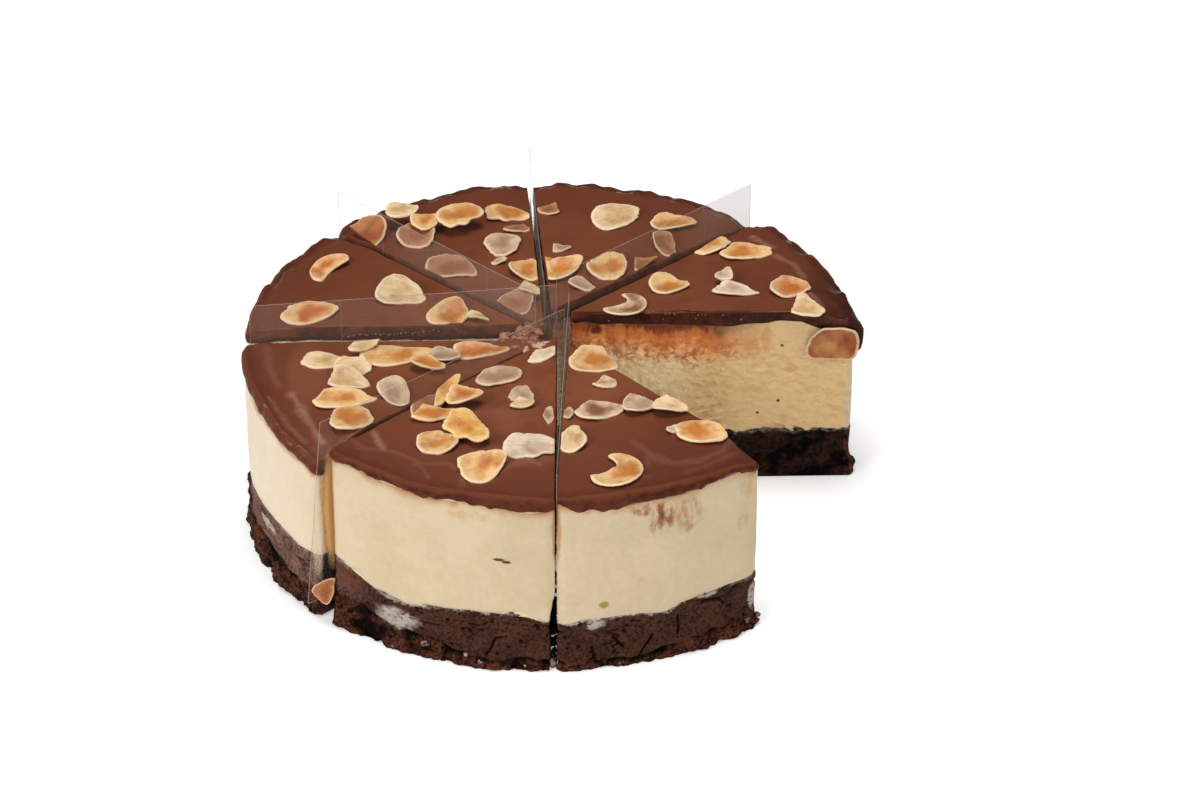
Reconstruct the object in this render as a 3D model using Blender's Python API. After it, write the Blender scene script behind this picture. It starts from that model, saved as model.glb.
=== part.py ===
"""Round chilled cake: a brownie base, a thick cream layer and a chocolate icing with flaked almonds.

The cake is cut in eight. Seven slices stand in the ring, and clear dividers stand in six of the cuts.
Lengths are in metres unless a name ends in _mm, angles in degrees, +Z is up and the front faces -Y.
Angles are counted from +X, counter-clockwise seen from above.
"""

import math
from collections import namedtuple

import bmesh
import bpy
from mathutils import Matrix, Vector, noise
from mathutils.bvhtree import BVHTree

MM = 0.001

# Driving dimensions
CAKE_RADIUS = 0.110
ICING_TOP = 0.0712
CREAM_TOP = 0.0655
BASE_TOP = 0.0205
LAYER_GAP = 0.0003
DIVIDER_THICKNESS = 0.0003
FLAKE_THICKNESS = 0.0013
FLAKE_SUNK = 0.0005
FLAKE_SIDES = 9
FLAKE_TAPER = 0.35
FLAKE_DISH = 0.3
RAY_START = 0.2
MERGE = 0.00002

# The cake's axis in plan, which centres the whole on the origin
AXIS_X = -0.0009
AXIS_Y = 0.0010

# Where the layers' heights are set: from the tip to the rim, and from one cut to the next
TIP_TO_RIM = (0.0, 0.3, 0.6, 0.82, 0.94, 1.0)
CUT_TO_CUT = 16
RIM_STARTS = 0.78

# How the sides of each layer run, from the bottom up, one ring a row:
# part of the height, how far it stands out from the cake's radius, and how rough it is
BASE_SIDE = (
    (0.0, -0.0002, 0.0028),
    (0.15, 0.0014, 0.0030),
    (0.42, 0.0008, 0.0020),
    (0.7, 0.0, 0.0008),
    (1.0, -0.0003, 0.0),
)
CREAM_SIDE = (
    (0.0, 0.0, 0.0),
    (0.5, 0.0002, 0.0),
    (1.0, 0.0, 0.0),
)
ICING_SIDE = (
    (0.0, 0.0003, 0.0),
    (0.4, 0.0008, 0.0006),
    (0.8, 0.0002, 0.0004),
    (1.0, -0.0012, 0.0),
)
CRUMB_SIZE = 0.006
CORNER_ROUND = 0.0016
CORNER_REACH = 0.035
OVERHANG_REACH = 0.16

# Each slice: its tip and its rim's centre in plan, how far it leans by the icing's top, its two cuts'
# angles at the rim, and along the rim from the first cut to the second the heights of the base, of the
# icing's lower edge and of its top. The last value is how far the icing overhangs at the first cut.
Slice = namedtuple("Slice", "name tip_mm centre_mm lean_mm start end base_mm lower_mm top_mm overhang_mm")

SLICES = (
    Slice(
        "right", (8.0, 12.4), (1.5, 0.5), (0.0, 0.0), 6.6, 45.3,
        (20.6, 21.4, 22.0, 21.0, 22.2, 23.0, 21.4, 22.0, 21.0),
        (57.4, 63.6, 66.0, 65.5, 66.0, 65.6, 66.6, 66.8, 66.0),
        (66.8, 69.0, 69.9, 70.3, 70.9, 71.5, 72.0, 72.5, 71.2),
        3.4,
    ),
    Slice(
        "back_right", (1.0, 15.0), (0.0, 0.0), (0.0, 0.0), 46.4, 92.2,
        (21.0, 22.4, 23.0, 21.6, 20.6, 21.8, 23.2, 22.0, 20.8),
        (62.8, 65.4, 66.4, 66.4, 65.4, 66.0, 66.8, 66.2, 64.8),
        (69.0, 71.2, 71.6, 71.4, 70.7, 71.2, 71.4, 72.0, 69.9),
        0.0,
    ),
    Slice(
        "back_left", (-2.4, 3.0), (0.0, 0.0), (0.0, 0.0), 94.8, 136.2,
        (20.8, 22.2, 21.2, 23.4, 22.6, 21.0, 22.4, 23.0, 21.4),
        (64.6, 66.0, 66.6, 65.8, 66.8, 67.6, 67.2, 66.4, 64.0),
        (70.4, 72.1, 72.1, 70.9, 71.3, 70.2, 70.4, 71.6, 70.0),
        0.0,
    ),
    Slice(
        "left_back", (-9.9, 4.6), (0.6, 0.0), (0.0, 0.0), 138.0, 178.2,
        (21.6, 23.0, 22.2, 21.0, 22.8, 23.2, 21.8, 21.0, 20.6),
        (64.2, 65.6, 66.2, 65.2, 66.0, 66.4, 65.4, 65.8, 64.6),
        (69.4, 70.6, 71.0, 71.0, 71.8, 72.2, 71.6, 70.5, 69.6),
        0.0,
    ),
    Slice(
        "left_front", (-2.4, -3.0), (0.6, -2.2), (0.0, -4.4), -179.9, -135.7,
        (21.0, 21.4, 22.0, 23.6, 25.0, 25.8, 25.0, 24.6, 26.0),
        (65.6, 66.2, 66.0, 65.4, 65.0, 64.8, 63.6, 62.6, 60.8),
        (69.8, 70.3, 70.5, 70.3, 70.0, 69.4, 68.5, 67.4, 65.6),
        0.0,
    ),
    Slice(
        "front", (2.0, -4.9), (0.0, -0.5), (0.0, 0.0), -132.3, -89.3,
        (28.0, 26.2, 21.4, 19.4, 21.4, 21.4, 21.8, 22.6, 19.2),
        (67.6, 68.6, 67.2, 66.8, 66.0, 66.4, 66.2, 64.2, 65.2),
        (70.8, 71.0, 70.8, 70.5, 70.4, 70.4, 70.3, 70.0, 69.6),
        0.0,
    ),
    Slice(
        "front_right", (7.3, -10.1), (0.0, 0.0), (0.0, 0.0), -88.3, -49.2,
        (18.4, 19.8, 20.2, 20.1, 18.2, 22.2, 22.2, 22.0, 21.9),
        (67.2, 65.4, 64.8, 65.6, 65.5, 65.6, 66.8, 67.0, 63.6),
        (70.0, 70.3, 70.5, 70.6, 70.6, 70.5, 70.3, 69.6, 67.2),
        0.0,
    ),
)

# Each divider: its inner and outer ends in plan at its top, how much further its outer foot reaches,
# and the heights of its inner foot, outer foot, outer top corner and inner top corner
Divider = namedtuple("Divider", "name inner_mm outer_mm reach_mm heights_mm")

DIVIDERS = (
    Divider("back", (-1.6, 1.1), (-7.2, 106.7), 0.0, (0.0, 0.0, 88.0, 88.0)),
    Divider("back_right", (2.5, 10.0), (75.2, 77.0), 0.0, (0.0, 0.0, 88.0, 88.0)),
    Divider("front", (7.0, -2.2), (2.5, -111.5), 0.0, (0.0, 0.0, 80.0, 88.0)),
    Divider("front_left", (5.4, 0.3), (-78.0, -84.8), 7.5, (0.0, 12.0, 85.5, 77.0)),
    Divider("left", (2.1, 0.0), (-107.6, -2.0), 0.0, (0.0, 0.0, 83.2, 90.0)),
    Divider("back_left", (-5.0, 2.4), (-78.2, 72.7), 0.0, (0.0, 0.0, 88.3, 85.7)),
)

# Almond flakes lying on the icing of each slice, in millimetres from the cake's axis and in degrees.
# lift is how far a flake lies above the icing because it rests on another one.
Flake = namedtuple("Flake", "x y length width heading lift")

FLAKES_MM = {
    "right": (
        Flake(44, 31, 15, 12, -5, 0), Flake(25.5, 16.5, 21, 13, 5, 0), Flake(67, 27, 20, 8, -12, 0),
        Flake(65, 36, 9, 6, 80, 0), Flake(61, 60, 18, 11, 20, 0), Flake(73, 54, 20, 10, 3, 0.4),
        Flake(88, 28, 15, 13, -8, 0), Flake(92, 15.5, 16, 13, -15, 0.4),
    ),
    "back_right": (
        Flake(0.5, 89, 11, 10, -60, 0), Flake(26, 81, 20, 16, 25, 0), Flake(46, 76, 17, 11, -3, 0),
        Flake(43, 59.5, 17, 9, -70, 0), Flake(4, 59, 8, 5, 0, 0), Flake(4, 43, 17, 13, 40, 0),
        Flake(22, 44, 17, 14, 60, 0), Flake(33, 47, 12, 9, 20, 0), Flake(12, 31, 12, 7, -35, 0),
    ),
    "back_left": (
        Flake(-68.5, 68, 20, 16, 40, 0), Flake(-55, 78, 13, 10, 15, 0), Flake(-49, 69.5, 20, 15, 80, 0.4),
        Flake(-33, 75, 18, 16, 25, 0), Flake(-16, 84, 17, 11, -10, 0), Flake(-17, 60.5, 16, 14, 35, 0),
        Flake(-19, 49, 7, 5, 0, 0), Flake(-36, 44, 20, 15, -35, 0), Flake(-8, 41, 14, 9, -60, 0),
        Flake(-12, 19, 17, 13, 60, 0), Flake(-8, 25, 11, 7, -35, 0.4),
    ),
    "left_back": (
        Flake(-78, 39, 20, 13, 60, 0), Flake(-87, 12.5, 21, 15, 12, 0), Flake(-54, 25, 20, 17, -15, 0),
        Flake(-33.5, 9.5, 19, 14, -35, 0),
    ),
    "left_front": (
        Flake(-80, -21, 17, 10, -6, 0), Flake(-66, -16, 12, 4, 20, 0.4), Flake(-54, -18, 26, 12, 10, 0),
        Flake(-70, -26, 14, 10, 0, 0.4), Flake(-71, -35, 16, 11, -20, 0), Flake(-72, -46, 22, 12, 3, 0.4),
        Flake(-70, -59, 16, 14, 0, 0), Flake(-38, -19, 12, 8, -5, 0), Flake(-43, -26, 13, 9, -25, 0.4),
        Flake(-54, -44, 16, 10, -65, 0), Flake(-25, -15, 22, 9, 8, 0),
    ),
    "front": (
        Flake(-42, -52, 15, 8, 50, 0), Flake(-37, -47, 16, 7, 55, 0.4), Flake(-30, -51, 14, 9, 15, 0),
        Flake(-41, -58, 18, 10, -8, 0), Flake(-18, -33, 18, 12, 18, 0), Flake(-10, -48, 13, 10, -60, 0),
        Flake(-1, -59, 9, 4, 80, 0), Flake(-3, -19, 11, 6, 20, 0), Flake(-39, -77, 15, 14, 10, 0),
        Flake(-29, -71, 17, 12, -40, 0.4), Flake(-23, -91.5, 19, 14, 35, 0), Flake(-7, -80.5, 20, 13, -3, 0),
    ),
    "front_right": (
        Flake(16, -23, 18, 12, -30, 0), Flake(19, -37, 10, 8, -20, 0), Flake(17, -56, 17, 10, 10, 0),
        Flake(31, -54, 12, 9, 0, 0), Flake(42, -56, 13, 8, -12, 0), Flake(52, -71.5, 18, 12, -15, 0),
        Flake(9, -75, 14, 10, 80, 0), Flake(20, -95, 22, 15, 20, 0),
    ),
}

# The flake that hangs on the right slice's cut face: place, length, width and lean
HANGING_FLAKE_MM = (99.5, 11.3, 62.4)
HANGING_FLAKE_SIZE_MM = (17.0, 11.0)
HANGING_FLAKE_LEAN = 16.0

MATERIALS = {
    "base": ((0.040, 0.016, 0.010, 1.0), 0.85),
    "cream": ((0.72, 0.57, 0.37, 1.0), 0.55),
    "icing": ((0.20, 0.068, 0.030, 1.0), 0.35),
    "divider": ((0.86, 0.88, 0.93, 0.25), 0.08),
}


def material(name):
    """The material of one kind of piece, made the first time it is asked for."""
    if name in bpy.data.materials:
        return bpy.data.materials[name]
    colour, roughness = MATERIALS[name]
    made = bpy.data.materials.new(name)
    made.use_nodes = True
    shader = made.node_tree.nodes["Principled BSDF"]
    shader.inputs["Base Color"].default_value = colour
    shader.inputs["Alpha"].default_value = colour[3]
    shader.inputs["Roughness"].default_value = roughness
    shader.inputs["Metallic"].default_value = 0.0
    return made


def clear_scene():
    for item in list(bpy.data.objects):
        bpy.data.objects.remove(item)


def add_object(name, bm, kind):
    """Turns a bmesh into a named object with its material."""
    mesh = bpy.data.meshes.new(name)
    bm.to_mesh(mesh)
    bm.free()
    mesh.materials.append(material(kind))
    item = bpy.data.objects.new(name, mesh)
    bpy.context.scene.collection.objects.link(item)
    return item


def smooth_step(low, high, value):
    part = min(max((value - low) / (high - low), 0.0), 1.0)
    return part * part * (3 - 2 * part)


def along(values_mm, part):
    """The value at part, from 0 to 1, on a smooth curve through evenly spaced values."""
    place = part * (len(values_mm) - 1)
    low = min(int(place), len(values_mm) - 2)
    blend = smooth_step(0.0, 1.0, place - low)
    return (values_mm[low] * (1 - blend) + values_mm[low + 1] * blend) * MM


def plan(point_mm):
    """A point given in millimetres from the cake's axis, in the part's own frame."""
    return Vector((point_mm[0] * MM + AXIS_X, point_mm[1] * MM + AXIS_Y))


def near_corner(across):
    """1 at either cut, falling to 0 a short way along the rim."""
    edge = min(across, 1 - across)
    return 1 - smooth_step(0.0, CORNER_REACH, edge)


def rim_point(piece, across, radius):
    """The point of the slice's rim at across, from 0 at its first cut to 1 at its second."""
    angle = math.radians(piece.start + (piece.end - piece.start) * across)
    return plan(piece.centre_mm) + Vector((math.cos(angle), math.sin(angle))) * radius


def lean(piece, height):
    """How far the slice leans over at a height."""
    return Vector(piece.lean_mm) * MM * height / ICING_TOP


def layer_height(values_mm, inner, along_slice, across):
    """A layer's height: level inside, and as the list says along the rim."""
    at_rim = smooth_step(RIM_STARTS, 1.0, along_slice)
    return inner + (along(values_mm, across) - inner) * at_rim


def base_height(piece, along_slice, across):
    return layer_height(piece.base_mm, BASE_TOP, along_slice, across)


def cream_height(piece, along_slice, across):
    return layer_height(piece.lower_mm, CREAM_TOP, along_slice, across)


def icing_height(piece, along_slice, across):
    return layer_height(piece.top_mm, ICING_TOP, along_slice, across)


def overhang(piece, across):
    return piece.overhang_mm * MM * (1 - smooth_step(0.0, OVERHANG_REACH, across))


def layer_block(piece, side, floor, ceiling, hangs=False):
    """One layer of a slice: a grid bent into a wedge, drawn up ring by ring between two heights.

    floor and ceiling give the height at a place in the slice, and side how far each ring stands out.
    """
    bm = bmesh.new()
    rows = len(TIP_TO_RIM) - 1
    bmesh.ops.create_grid(bm, x_segments=rows, y_segments=CUT_TO_CUT, size=0.5)
    bmesh.ops.triangulate(bm, faces=bm.faces)
    top = list(bm.faces)
    for ring in range(1, len(side)):
        drawn = bmesh.ops.extrude_face_region(bm, geom=top)["geom"]
        if ring > 1:
            bmesh.ops.delete(bm, geom=top, context="FACES")
        top = [item for item in drawn if isinstance(item, bmesh.types.BMFace)]
        raised = [item for item in drawn if isinstance(item, bmesh.types.BMVert)]
        bmesh.ops.translate(bm, verts=raised, vec=(0, 0, 1))
    tip = plan(piece.tip_mm)
    for vert in bm.verts:
        along_slice = TIP_TO_RIM[round((vert.co.x + 0.5) * rows)]
        across = vert.co.y + 0.5
        part, stand_out, rough = side[round(vert.co.z)]
        low = floor(piece, along_slice, across)
        height = low + (ceiling(piece, along_slice, across) - low) * part
        radius = CAKE_RADIUS + stand_out - CORNER_ROUND * near_corner(across)
        if hangs and part > 0:
            radius += overhang(piece, across)
        rim = rim_point(piece, across, radius)
        grain = noise.noise(Vector((rim.x, rim.y, height)) / CRUMB_SIZE)
        rim = rim_point(piece, across, radius + rough * grain)
        place = tip.lerp(rim, along_slice) + lean(piece, height)
        vert.co = (place.x, place.y, height)
    bmesh.ops.remove_doubles(bm, verts=bm.verts, dist=MERGE)
    bmesh.ops.recalc_face_normals(bm, faces=bm.faces)
    return bm


def flake_mesh(length, width):
    """An almond flake: a thin plate with a round end and a blunter pointed one, dished in the middle."""
    bm = bmesh.new()
    bmesh.ops.create_circle(bm, cap_ends=True, segments=FLAKE_SIDES, radius=0.5)
    for vert in bm.verts:
        taper = 1 - FLAKE_TAPER * vert.co.x
        vert.co.x *= length
        vert.co.y *= width * taper
    bottom = list(bm.faces)
    drawn = bmesh.ops.extrude_face_region(bm, geom=bottom)["geom"]
    raised = [item for item in drawn if isinstance(item, bmesh.types.BMVert)]
    bmesh.ops.translate(bm, verts=raised, vec=(0, 0, FLAKE_THICKNESS))
    top = [item for item in drawn if isinstance(item, bmesh.types.BMFace)]
    middle = bmesh.ops.poke(bm, faces=top)["verts"]
    bmesh.ops.translate(bm, verts=middle, vec=(0, 0, -FLAKE_DISH * FLAKE_THICKNESS))
    bmesh.ops.recalc_face_normals(bm, faces=bm.faces)
    return bm


def add_flake(bm, collection):
    """Makes a flake an object of the collection that is fused to an icing."""
    flake = add_object("flake", bm, "icing")
    bpy.context.scene.collection.objects.unlink(flake)
    collection.objects.link(flake)


def trim_to_slice(bm, piece, clear):
    """Cuts a flake off flush with the slice's cuts, where a divider stands beside them."""
    tip = plan(piece.tip_mm) + lean(piece, ICING_TOP)
    for across, outward in ((0.0, -90), (1.0, 90)):
        if clear[int(across)]:
            continue
        along_cut = (rim_point(piece, across, CAKE_RADIUS) + lean(piece, ICING_TOP) - tip).normalized()
        turn = math.radians(outward)
        normal = (
            along_cut.x * math.cos(turn) - along_cut.y * math.sin(turn),
            along_cut.x * math.sin(turn) + along_cut.y * math.cos(turn),
            0.0,
        )
        whole = bm.verts[:] + bm.edges[:] + bm.faces[:]
        cut = bmesh.ops.bisect_plane(
            bm, geom=whole, plane_co=(tip.x, tip.y, 0), plane_no=normal, clear_outer=True
        )
        loop = [item for item in cut["geom_cut"] if isinstance(item, bmesh.types.BMEdge)]
        if loop:
            bmesh.ops.holes_fill(bm, edges=loop, sides=0)


def lay_flake(piece, flake, surface, clear, collection):
    """Lays one flake on the icing, square to its surface, and puts it in the collection."""
    spot = plan((flake.x, flake.y))
    hit, normal, _, _ = surface.ray_cast(Vector((spot.x, spot.y, RAY_START)), Vector((0, 0, -1)))
    tilt = Vector((0, 0, 1)).rotation_difference(normal).to_matrix().to_4x4()
    turn = Matrix.Rotation(math.radians(flake.heading), 4, "Z")
    lower = Matrix.Translation((0, 0, flake.lift * MM - FLAKE_SUNK))
    bm = flake_mesh(flake.length * MM, flake.width * MM)
    bmesh.ops.transform(bm, verts=bm.verts, matrix=Matrix.Translation(hit) @ tilt @ lower @ turn)
    trim_to_slice(bm, piece, clear)
    bmesh.ops.recalc_face_normals(bm, faces=bm.faces)
    add_flake(bm, collection)


def hang_flake(collection):
    """The flake that sticks out of the icing's lower edge, down the right slice's cut face."""
    length, width = HANGING_FLAKE_SIZE_MM
    x, y, z = HANGING_FLAKE_MM
    spot = plan((x, y))
    stand = Matrix.Rotation(math.radians(90 - HANGING_FLAKE_LEAN), 4, "X")
    bm = flake_mesh(length * MM, width * MM)
    centre = Matrix.Translation((0, 0, -FLAKE_THICKNESS / 2))
    place = Matrix.Translation((spot.x, spot.y, z * MM))
    bmesh.ops.transform(bm, verts=bm.verts, matrix=place @ stand @ centre)
    add_flake(bm, collection)


def open_sides(piece):
    """True for each of the slice's cuts that faces the missing slice and so has no divider."""
    return piece.name == "right", piece.name == "front_right"


def add_icing(piece):
    """The icing of one slice with its almond flakes fused on."""

    def under(piece, along_slice, across):
        return cream_height(piece, along_slice, across) + LAYER_GAP

    bm = layer_block(piece, ICING_SIDE, under, icing_height, hangs=True)
    surface = BVHTree.FromBMesh(bm)
    icing = add_object("icing_" + piece.name, bm, "icing")
    collection = bpy.data.collections.new("flakes_" + piece.name)
    for flake in FLAKES_MM[piece.name]:
        lay_flake(piece, flake, surface, open_sides(piece), collection)
    if piece.name == "right":
        hang_flake(collection)
    union = icing.modifiers.new("flakes", "BOOLEAN")
    union.operation = "UNION"
    union.solver = "EXACT"
    union.operand_type = "COLLECTION"
    union.collection = collection
    fused = bpy.data.meshes.new_from_object(icing.evaluated_get(bpy.context.evaluated_depsgraph_get()))
    icing.modifiers.clear()
    icing.data = fused
    for fused_flake in list(collection.objects):
        bpy.data.objects.remove(fused_flake)
    bpy.data.collections.remove(collection)


def add_cream(piece):
    def over(piece, along_slice, across):
        return base_height(piece, along_slice, across) + LAYER_GAP

    add_object("cream_" + piece.name, layer_block(piece, CREAM_SIDE, over, cream_height), "cream")


def add_base(piece):
    def ground(piece, along_slice, across):
        return 0.0

    add_object("base_" + piece.name, layer_block(piece, BASE_SIDE, ground, base_height), "base")


def add_divider(divider):
    """A clear sheet that stands upright in a cut."""
    inner = plan(divider.inner_mm)
    outer = plan(divider.outer_mm)
    run = (outer - inner).normalized()
    across = Vector((-run.y, run.x)) * DIVIDER_THICKNESS
    outer_foot = outer + run * divider.reach_mm * MM
    bm = bmesh.new()
    corners = []
    for spot, height in zip((inner, outer_foot, outer, inner), divider.heights_mm):
        near_side = spot - across / 2
        corners.append(bm.verts.new((near_side.x, near_side.y, height * MM)))
    sheet = bm.faces.new(corners)
    drawn = bmesh.ops.extrude_face_region(bm, geom=[sheet])["geom"]
    far_side = [item for item in drawn if isinstance(item, bmesh.types.BMVert)]
    bmesh.ops.translate(bm, verts=far_side, vec=(across.x, across.y, 0))
    bmesh.ops.recalc_face_normals(bm, faces=bm.faces)
    add_object("divider_" + divider.name, bm, "divider")


def main():
    clear_scene()
    for piece in SLICES:
        add_base(piece)
        add_cream(piece)
        add_icing(piece)
    for divider in DIVIDERS:
        add_divider(divider)


main()
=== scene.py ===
"""Looks of a round brownie cheesecake: seven slices in a ring, with icing, almonds and clear dividers.

Lengths are in metres unless a name ends in _mm, angles in degrees, +Z is up and the front faces -Y.
"""

import math
import random
from collections import namedtuple

import bmesh
import bpy
from mathutils import Matrix, Vector, noise
from mathutils.bvhtree import BVHTree


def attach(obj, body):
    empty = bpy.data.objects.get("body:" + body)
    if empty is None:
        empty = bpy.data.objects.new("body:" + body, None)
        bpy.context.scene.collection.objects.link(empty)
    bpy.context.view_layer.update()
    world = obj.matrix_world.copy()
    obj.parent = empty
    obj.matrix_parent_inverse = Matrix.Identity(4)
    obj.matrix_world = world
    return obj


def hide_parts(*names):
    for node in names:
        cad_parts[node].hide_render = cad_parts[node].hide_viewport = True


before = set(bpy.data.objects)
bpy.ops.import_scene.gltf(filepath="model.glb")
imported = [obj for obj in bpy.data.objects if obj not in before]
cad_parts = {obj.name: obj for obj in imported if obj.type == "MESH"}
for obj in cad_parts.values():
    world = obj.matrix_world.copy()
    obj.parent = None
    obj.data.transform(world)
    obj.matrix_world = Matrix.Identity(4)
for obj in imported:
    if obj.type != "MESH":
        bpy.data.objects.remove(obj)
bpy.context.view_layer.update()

MM = 0.001

# Sizes of the cake, as in the solids
CAKE_RADIUS = 0.110
ICING_TOP = 0.0712
CREAM_TOP = 0.0655
BASE_TOP = 0.0205
AXIS_X = -0.0009
AXIS_Y = 0.0010
RIM_STARTS = 0.78
RIM_BAND = 0.0025
CORNER_ROUND = 0.0010
CORNER_REACH = 0.035
OVERHANG_REACH = 0.16
TIP_WIDTH = 0.0008

# Each slice: its tip and its rim's centre in plan, how far it leans by the icing's top, its two cuts'
# angles at the rim, and along the rim from the first cut to the second the heights of the base, of the
# icing's lower edge and of its top. The last value is how far the icing overhangs at the first cut.
Slice = namedtuple("Slice", "name tip_mm centre_mm lean_mm start end base_mm lower_mm top_mm overhang_mm")

SLICES = (
    Slice(
        "right", (8, 12.4), (1.5, 0.5), (0, 0), 6.6, 45.3,
        (20.6, 21.4, 22, 21, 22.2, 23, 21.4, 22, 21),
        (54.4, 62.4, 66, 65.5, 66, 65.6, 66.6, 66.8, 66),
        (66.8, 69, 69.9, 70.3, 70.9, 71.5, 72, 72.5, 71.2),
        3.4,
    ),
    Slice(
        "back_right", (1, 15), (0, 0), (0, 0), 46.4, 93.1,
        (21, 22.4, 23, 21.6, 20.6, 21.8, 23.2, 22, 20.8),
        (62.8, 65.4, 66.4, 66.4, 65.4, 66, 66.8, 66.2, 64.8),
        (69, 71.2, 71.6, 71.4, 70.7, 71.2, 71.4, 72, 69.9),
        0,
    ),
    Slice(
        "back_left", (-2.4, 3), (0, 0), (0, 0), 94.4, 136.2,
        (20.8, 22.2, 21.2, 23.4, 22.6, 21, 22.4, 23, 21.4),
        (64.6, 66, 66.6, 65.8, 66.8, 67.6, 67.2, 66.4, 64),
        (70.4, 72.1, 72.1, 70.9, 71.3, 70.2, 70.4, 71.6, 70),
        0,
    ),
    Slice(
        "left_back", (-9.9, 4.6), (0.6, 0), (0, 0), 138, 178.2,
        (21.6, 23, 22.2, 21, 22.8, 23.2, 21.8, 21, 20.6),
        (64.2, 65.6, 66.2, 65.2, 66, 66.4, 65.4, 65.8, 64.6),
        (69.4, 70.6, 71, 71, 71.8, 72.2, 71.6, 70.5, 69.6),
        0,
    ),
    Slice(
        "left_front", (-2.4, -3), (0.6, -2.2), (0, -4.4), -179.9, -138,
        (21, 21.4, 22, 23.6, 25, 25.8, 25, 24.6, 26),
        (65.6, 66.2, 66, 65.4, 65, 64.8, 63.6, 62.6, 60.8),
        (69.8, 70.3, 70.5, 70.3, 70, 69.4, 68.5, 67.4, 65.6),
        0,
    ),
    Slice(
        "front", (2, -4.9), (0, -0.5), (0, 0), -133.9, -89.4,
        (28, 26.2, 21.4, 19.4, 21.6, 22.4, 23, 23.4, 19.8),
        (67.6, 68.6, 67.2, 66.8, 66, 66.4, 66.2, 64.2, 65.2),
        (70.8, 71, 70.8, 70.5, 70.4, 70.4, 70.3, 70, 69.6),
        0,
    ),
    Slice(
        "front_right", (7.3, -10.1), (0, 0), (0, 0), -89, -49.2,
        (18.4, 19.8, 20.2, 20.1, 18.2, 22.2, 22.2, 22, 21.9),
        (67.2, 65.4, 64.8, 65.6, 65.5, 65.6, 66.8, 67, 63.6),
        (70, 70.3, 70.5, 70.6, 70.6, 70.5, 70.3, 69.6, 67.2),
        0,
    ),
)

# Each divider: its inner and outer ends in plan at its top, how much further its outer foot reaches,
# the heights of its inner foot, outer foot, outer top corner and inner top corner, how far its middle
# bows sideways, where it is creased from top to bottom, from 0 at its inner end to 1 at its outer, how
# much of it below the icing is painted over, dark as painted shade in the slit and orange as painted
# light near the tip of the front slit, and how much it veils what stands behind its inner and outer end
Divider = namedtuple("Divider", "name inner_mm outer_mm reach_mm heights_mm bow_mm creases smeared veil")

DIVIDERS = [Divider(*row) for row in (
    ("back", (-1.6, 1.1), (-7.2, 106.7), 0, (0, 0, 88, 88), 0.3, (), 1, (0.1, 0.1)),
    ("back_right", (2.5, 10), (75.2, 77), 0, (0, 0, 88, 88), 0.2, (0.27, 0.76), 0, (0.08, 0.22)),
    ("front", (7, -2.2), (1.9, -111), -6, (0, 0, 80, 88), 0.1, (), 1, (0.1, 0.1)),
    ("front_left", (5.4, -0.6), (-79, -80.7), 8.6, (0, 12, 83, 80.6), 0.2, (0.33, 0.66), 0, (0.1, 0.04)),
    ("left", (2.1, 0), (-107.6, -2), 0, (0, 0, 83.2, 90), 0.2, (0.70,), 0, (0.1, 0.1)),
    ("back_left", (-5, 2.4), (-78.2, 72.7), 0, (0, 0, 88.3, 85.7), 0.2, (0.24, 0.77), 0, (0.12, 0)),
)]


# Shapes in plan

def smooth_step(low, high, value):
    part = min(max((value - low) / (high - low), 0.0), 1.0)
    return part * part * (3 - 2 * part)


def along_list(values_mm, part):
    """The value at part, from 0 to 1, on a smooth curve through evenly spaced values."""
    place = part * (len(values_mm) - 1)
    low = min(int(place), len(values_mm) - 2)
    blend = smooth_step(0.0, 1.0, place - low)
    return (values_mm[low] * (1 - blend) + values_mm[low + 1] * blend) * MM


def plan(point_mm):
    """A point given in millimetres from the cake's axis, in the part's own frame."""
    return Vector((point_mm[0] * MM + AXIS_X, point_mm[1] * MM + AXIS_Y))


def near_corner(across):
    """1 at either cut, falling to 0 a short way along the rim."""
    return 1 - smooth_step(0.0, CORNER_REACH, min(across, 1 - across))


def rim_point(piece, across, radius):
    """The point of the slice's rim at across, from 0 at its first cut to 1 at its second."""
    angle = math.radians(piece.start + (piece.end - piece.start) * across)
    return plan(piece.centre_mm) + Vector((math.cos(angle), math.sin(angle))) * radius


def lean(piece, height):
    """How far the slice leans over at a height."""
    return Vector(piece.lean_mm) * MM * height / ICING_TOP


def cut_normal(piece, across):
    """The direction in plan that the first cut, at across 0, or the second, at 1, faces."""
    run = (rim_point(piece, across, CAKE_RADIUS) - plan(piece.tip_mm)).normalized()
    return Vector((run.y, -run.x)) if across < 0.5 else Vector((-run.y, run.x))


def layer_height(values_mm, inner, along, across):
    """A layer's height: level inside, and as the list says along the rim."""
    at_rim = smooth_step(RIM_STARTS, 1.0, along)
    return inner + (along_list(values_mm, across) - inner) * at_rim


# The cuts beside the missing slice
OPEN_CUTS = {"right": 0.0, "front_right": 1.0}
# The icing's lower edge along the right slice's open cut, from its tip to its rim
OPEN_LOWER_MM = (68.2, 68.2, 67.4, 66.6, 65.8, 65.3, 66.2, 67.6, 64.6, 54.4)
OPEN_CUT_REACH = 0.2


def near_cut(piece, across):
    """1 at a cut beside the missing slice, falling to 0 a short way in, and 0 in the other slices."""
    if piece.name not in OPEN_CUTS:
        return 0.0
    return 1 - smooth_step(0.0, OPEN_CUT_REACH, abs(across - OPEN_CUTS[piece.name]))


def base_height(piece, along, across):
    """The brownie's top, uneven where it shows."""
    rim = rim_point(piece, across, CAKE_RADIUS * along)
    ragged = 0.8 * noise.noise(Vector((rim.x, rim.y, 0.3)) / 0.0062)
    ragged += 0.4 * noise.noise(Vector((rim.x, rim.y, 0.1)) / 0.0024)
    shows = max(smooth_step(RIM_STARTS, 1.0, along), near_cut(piece, across))
    return layer_height(piece.base_mm, BASE_TOP, along, across) + ragged * shows * MM


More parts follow.
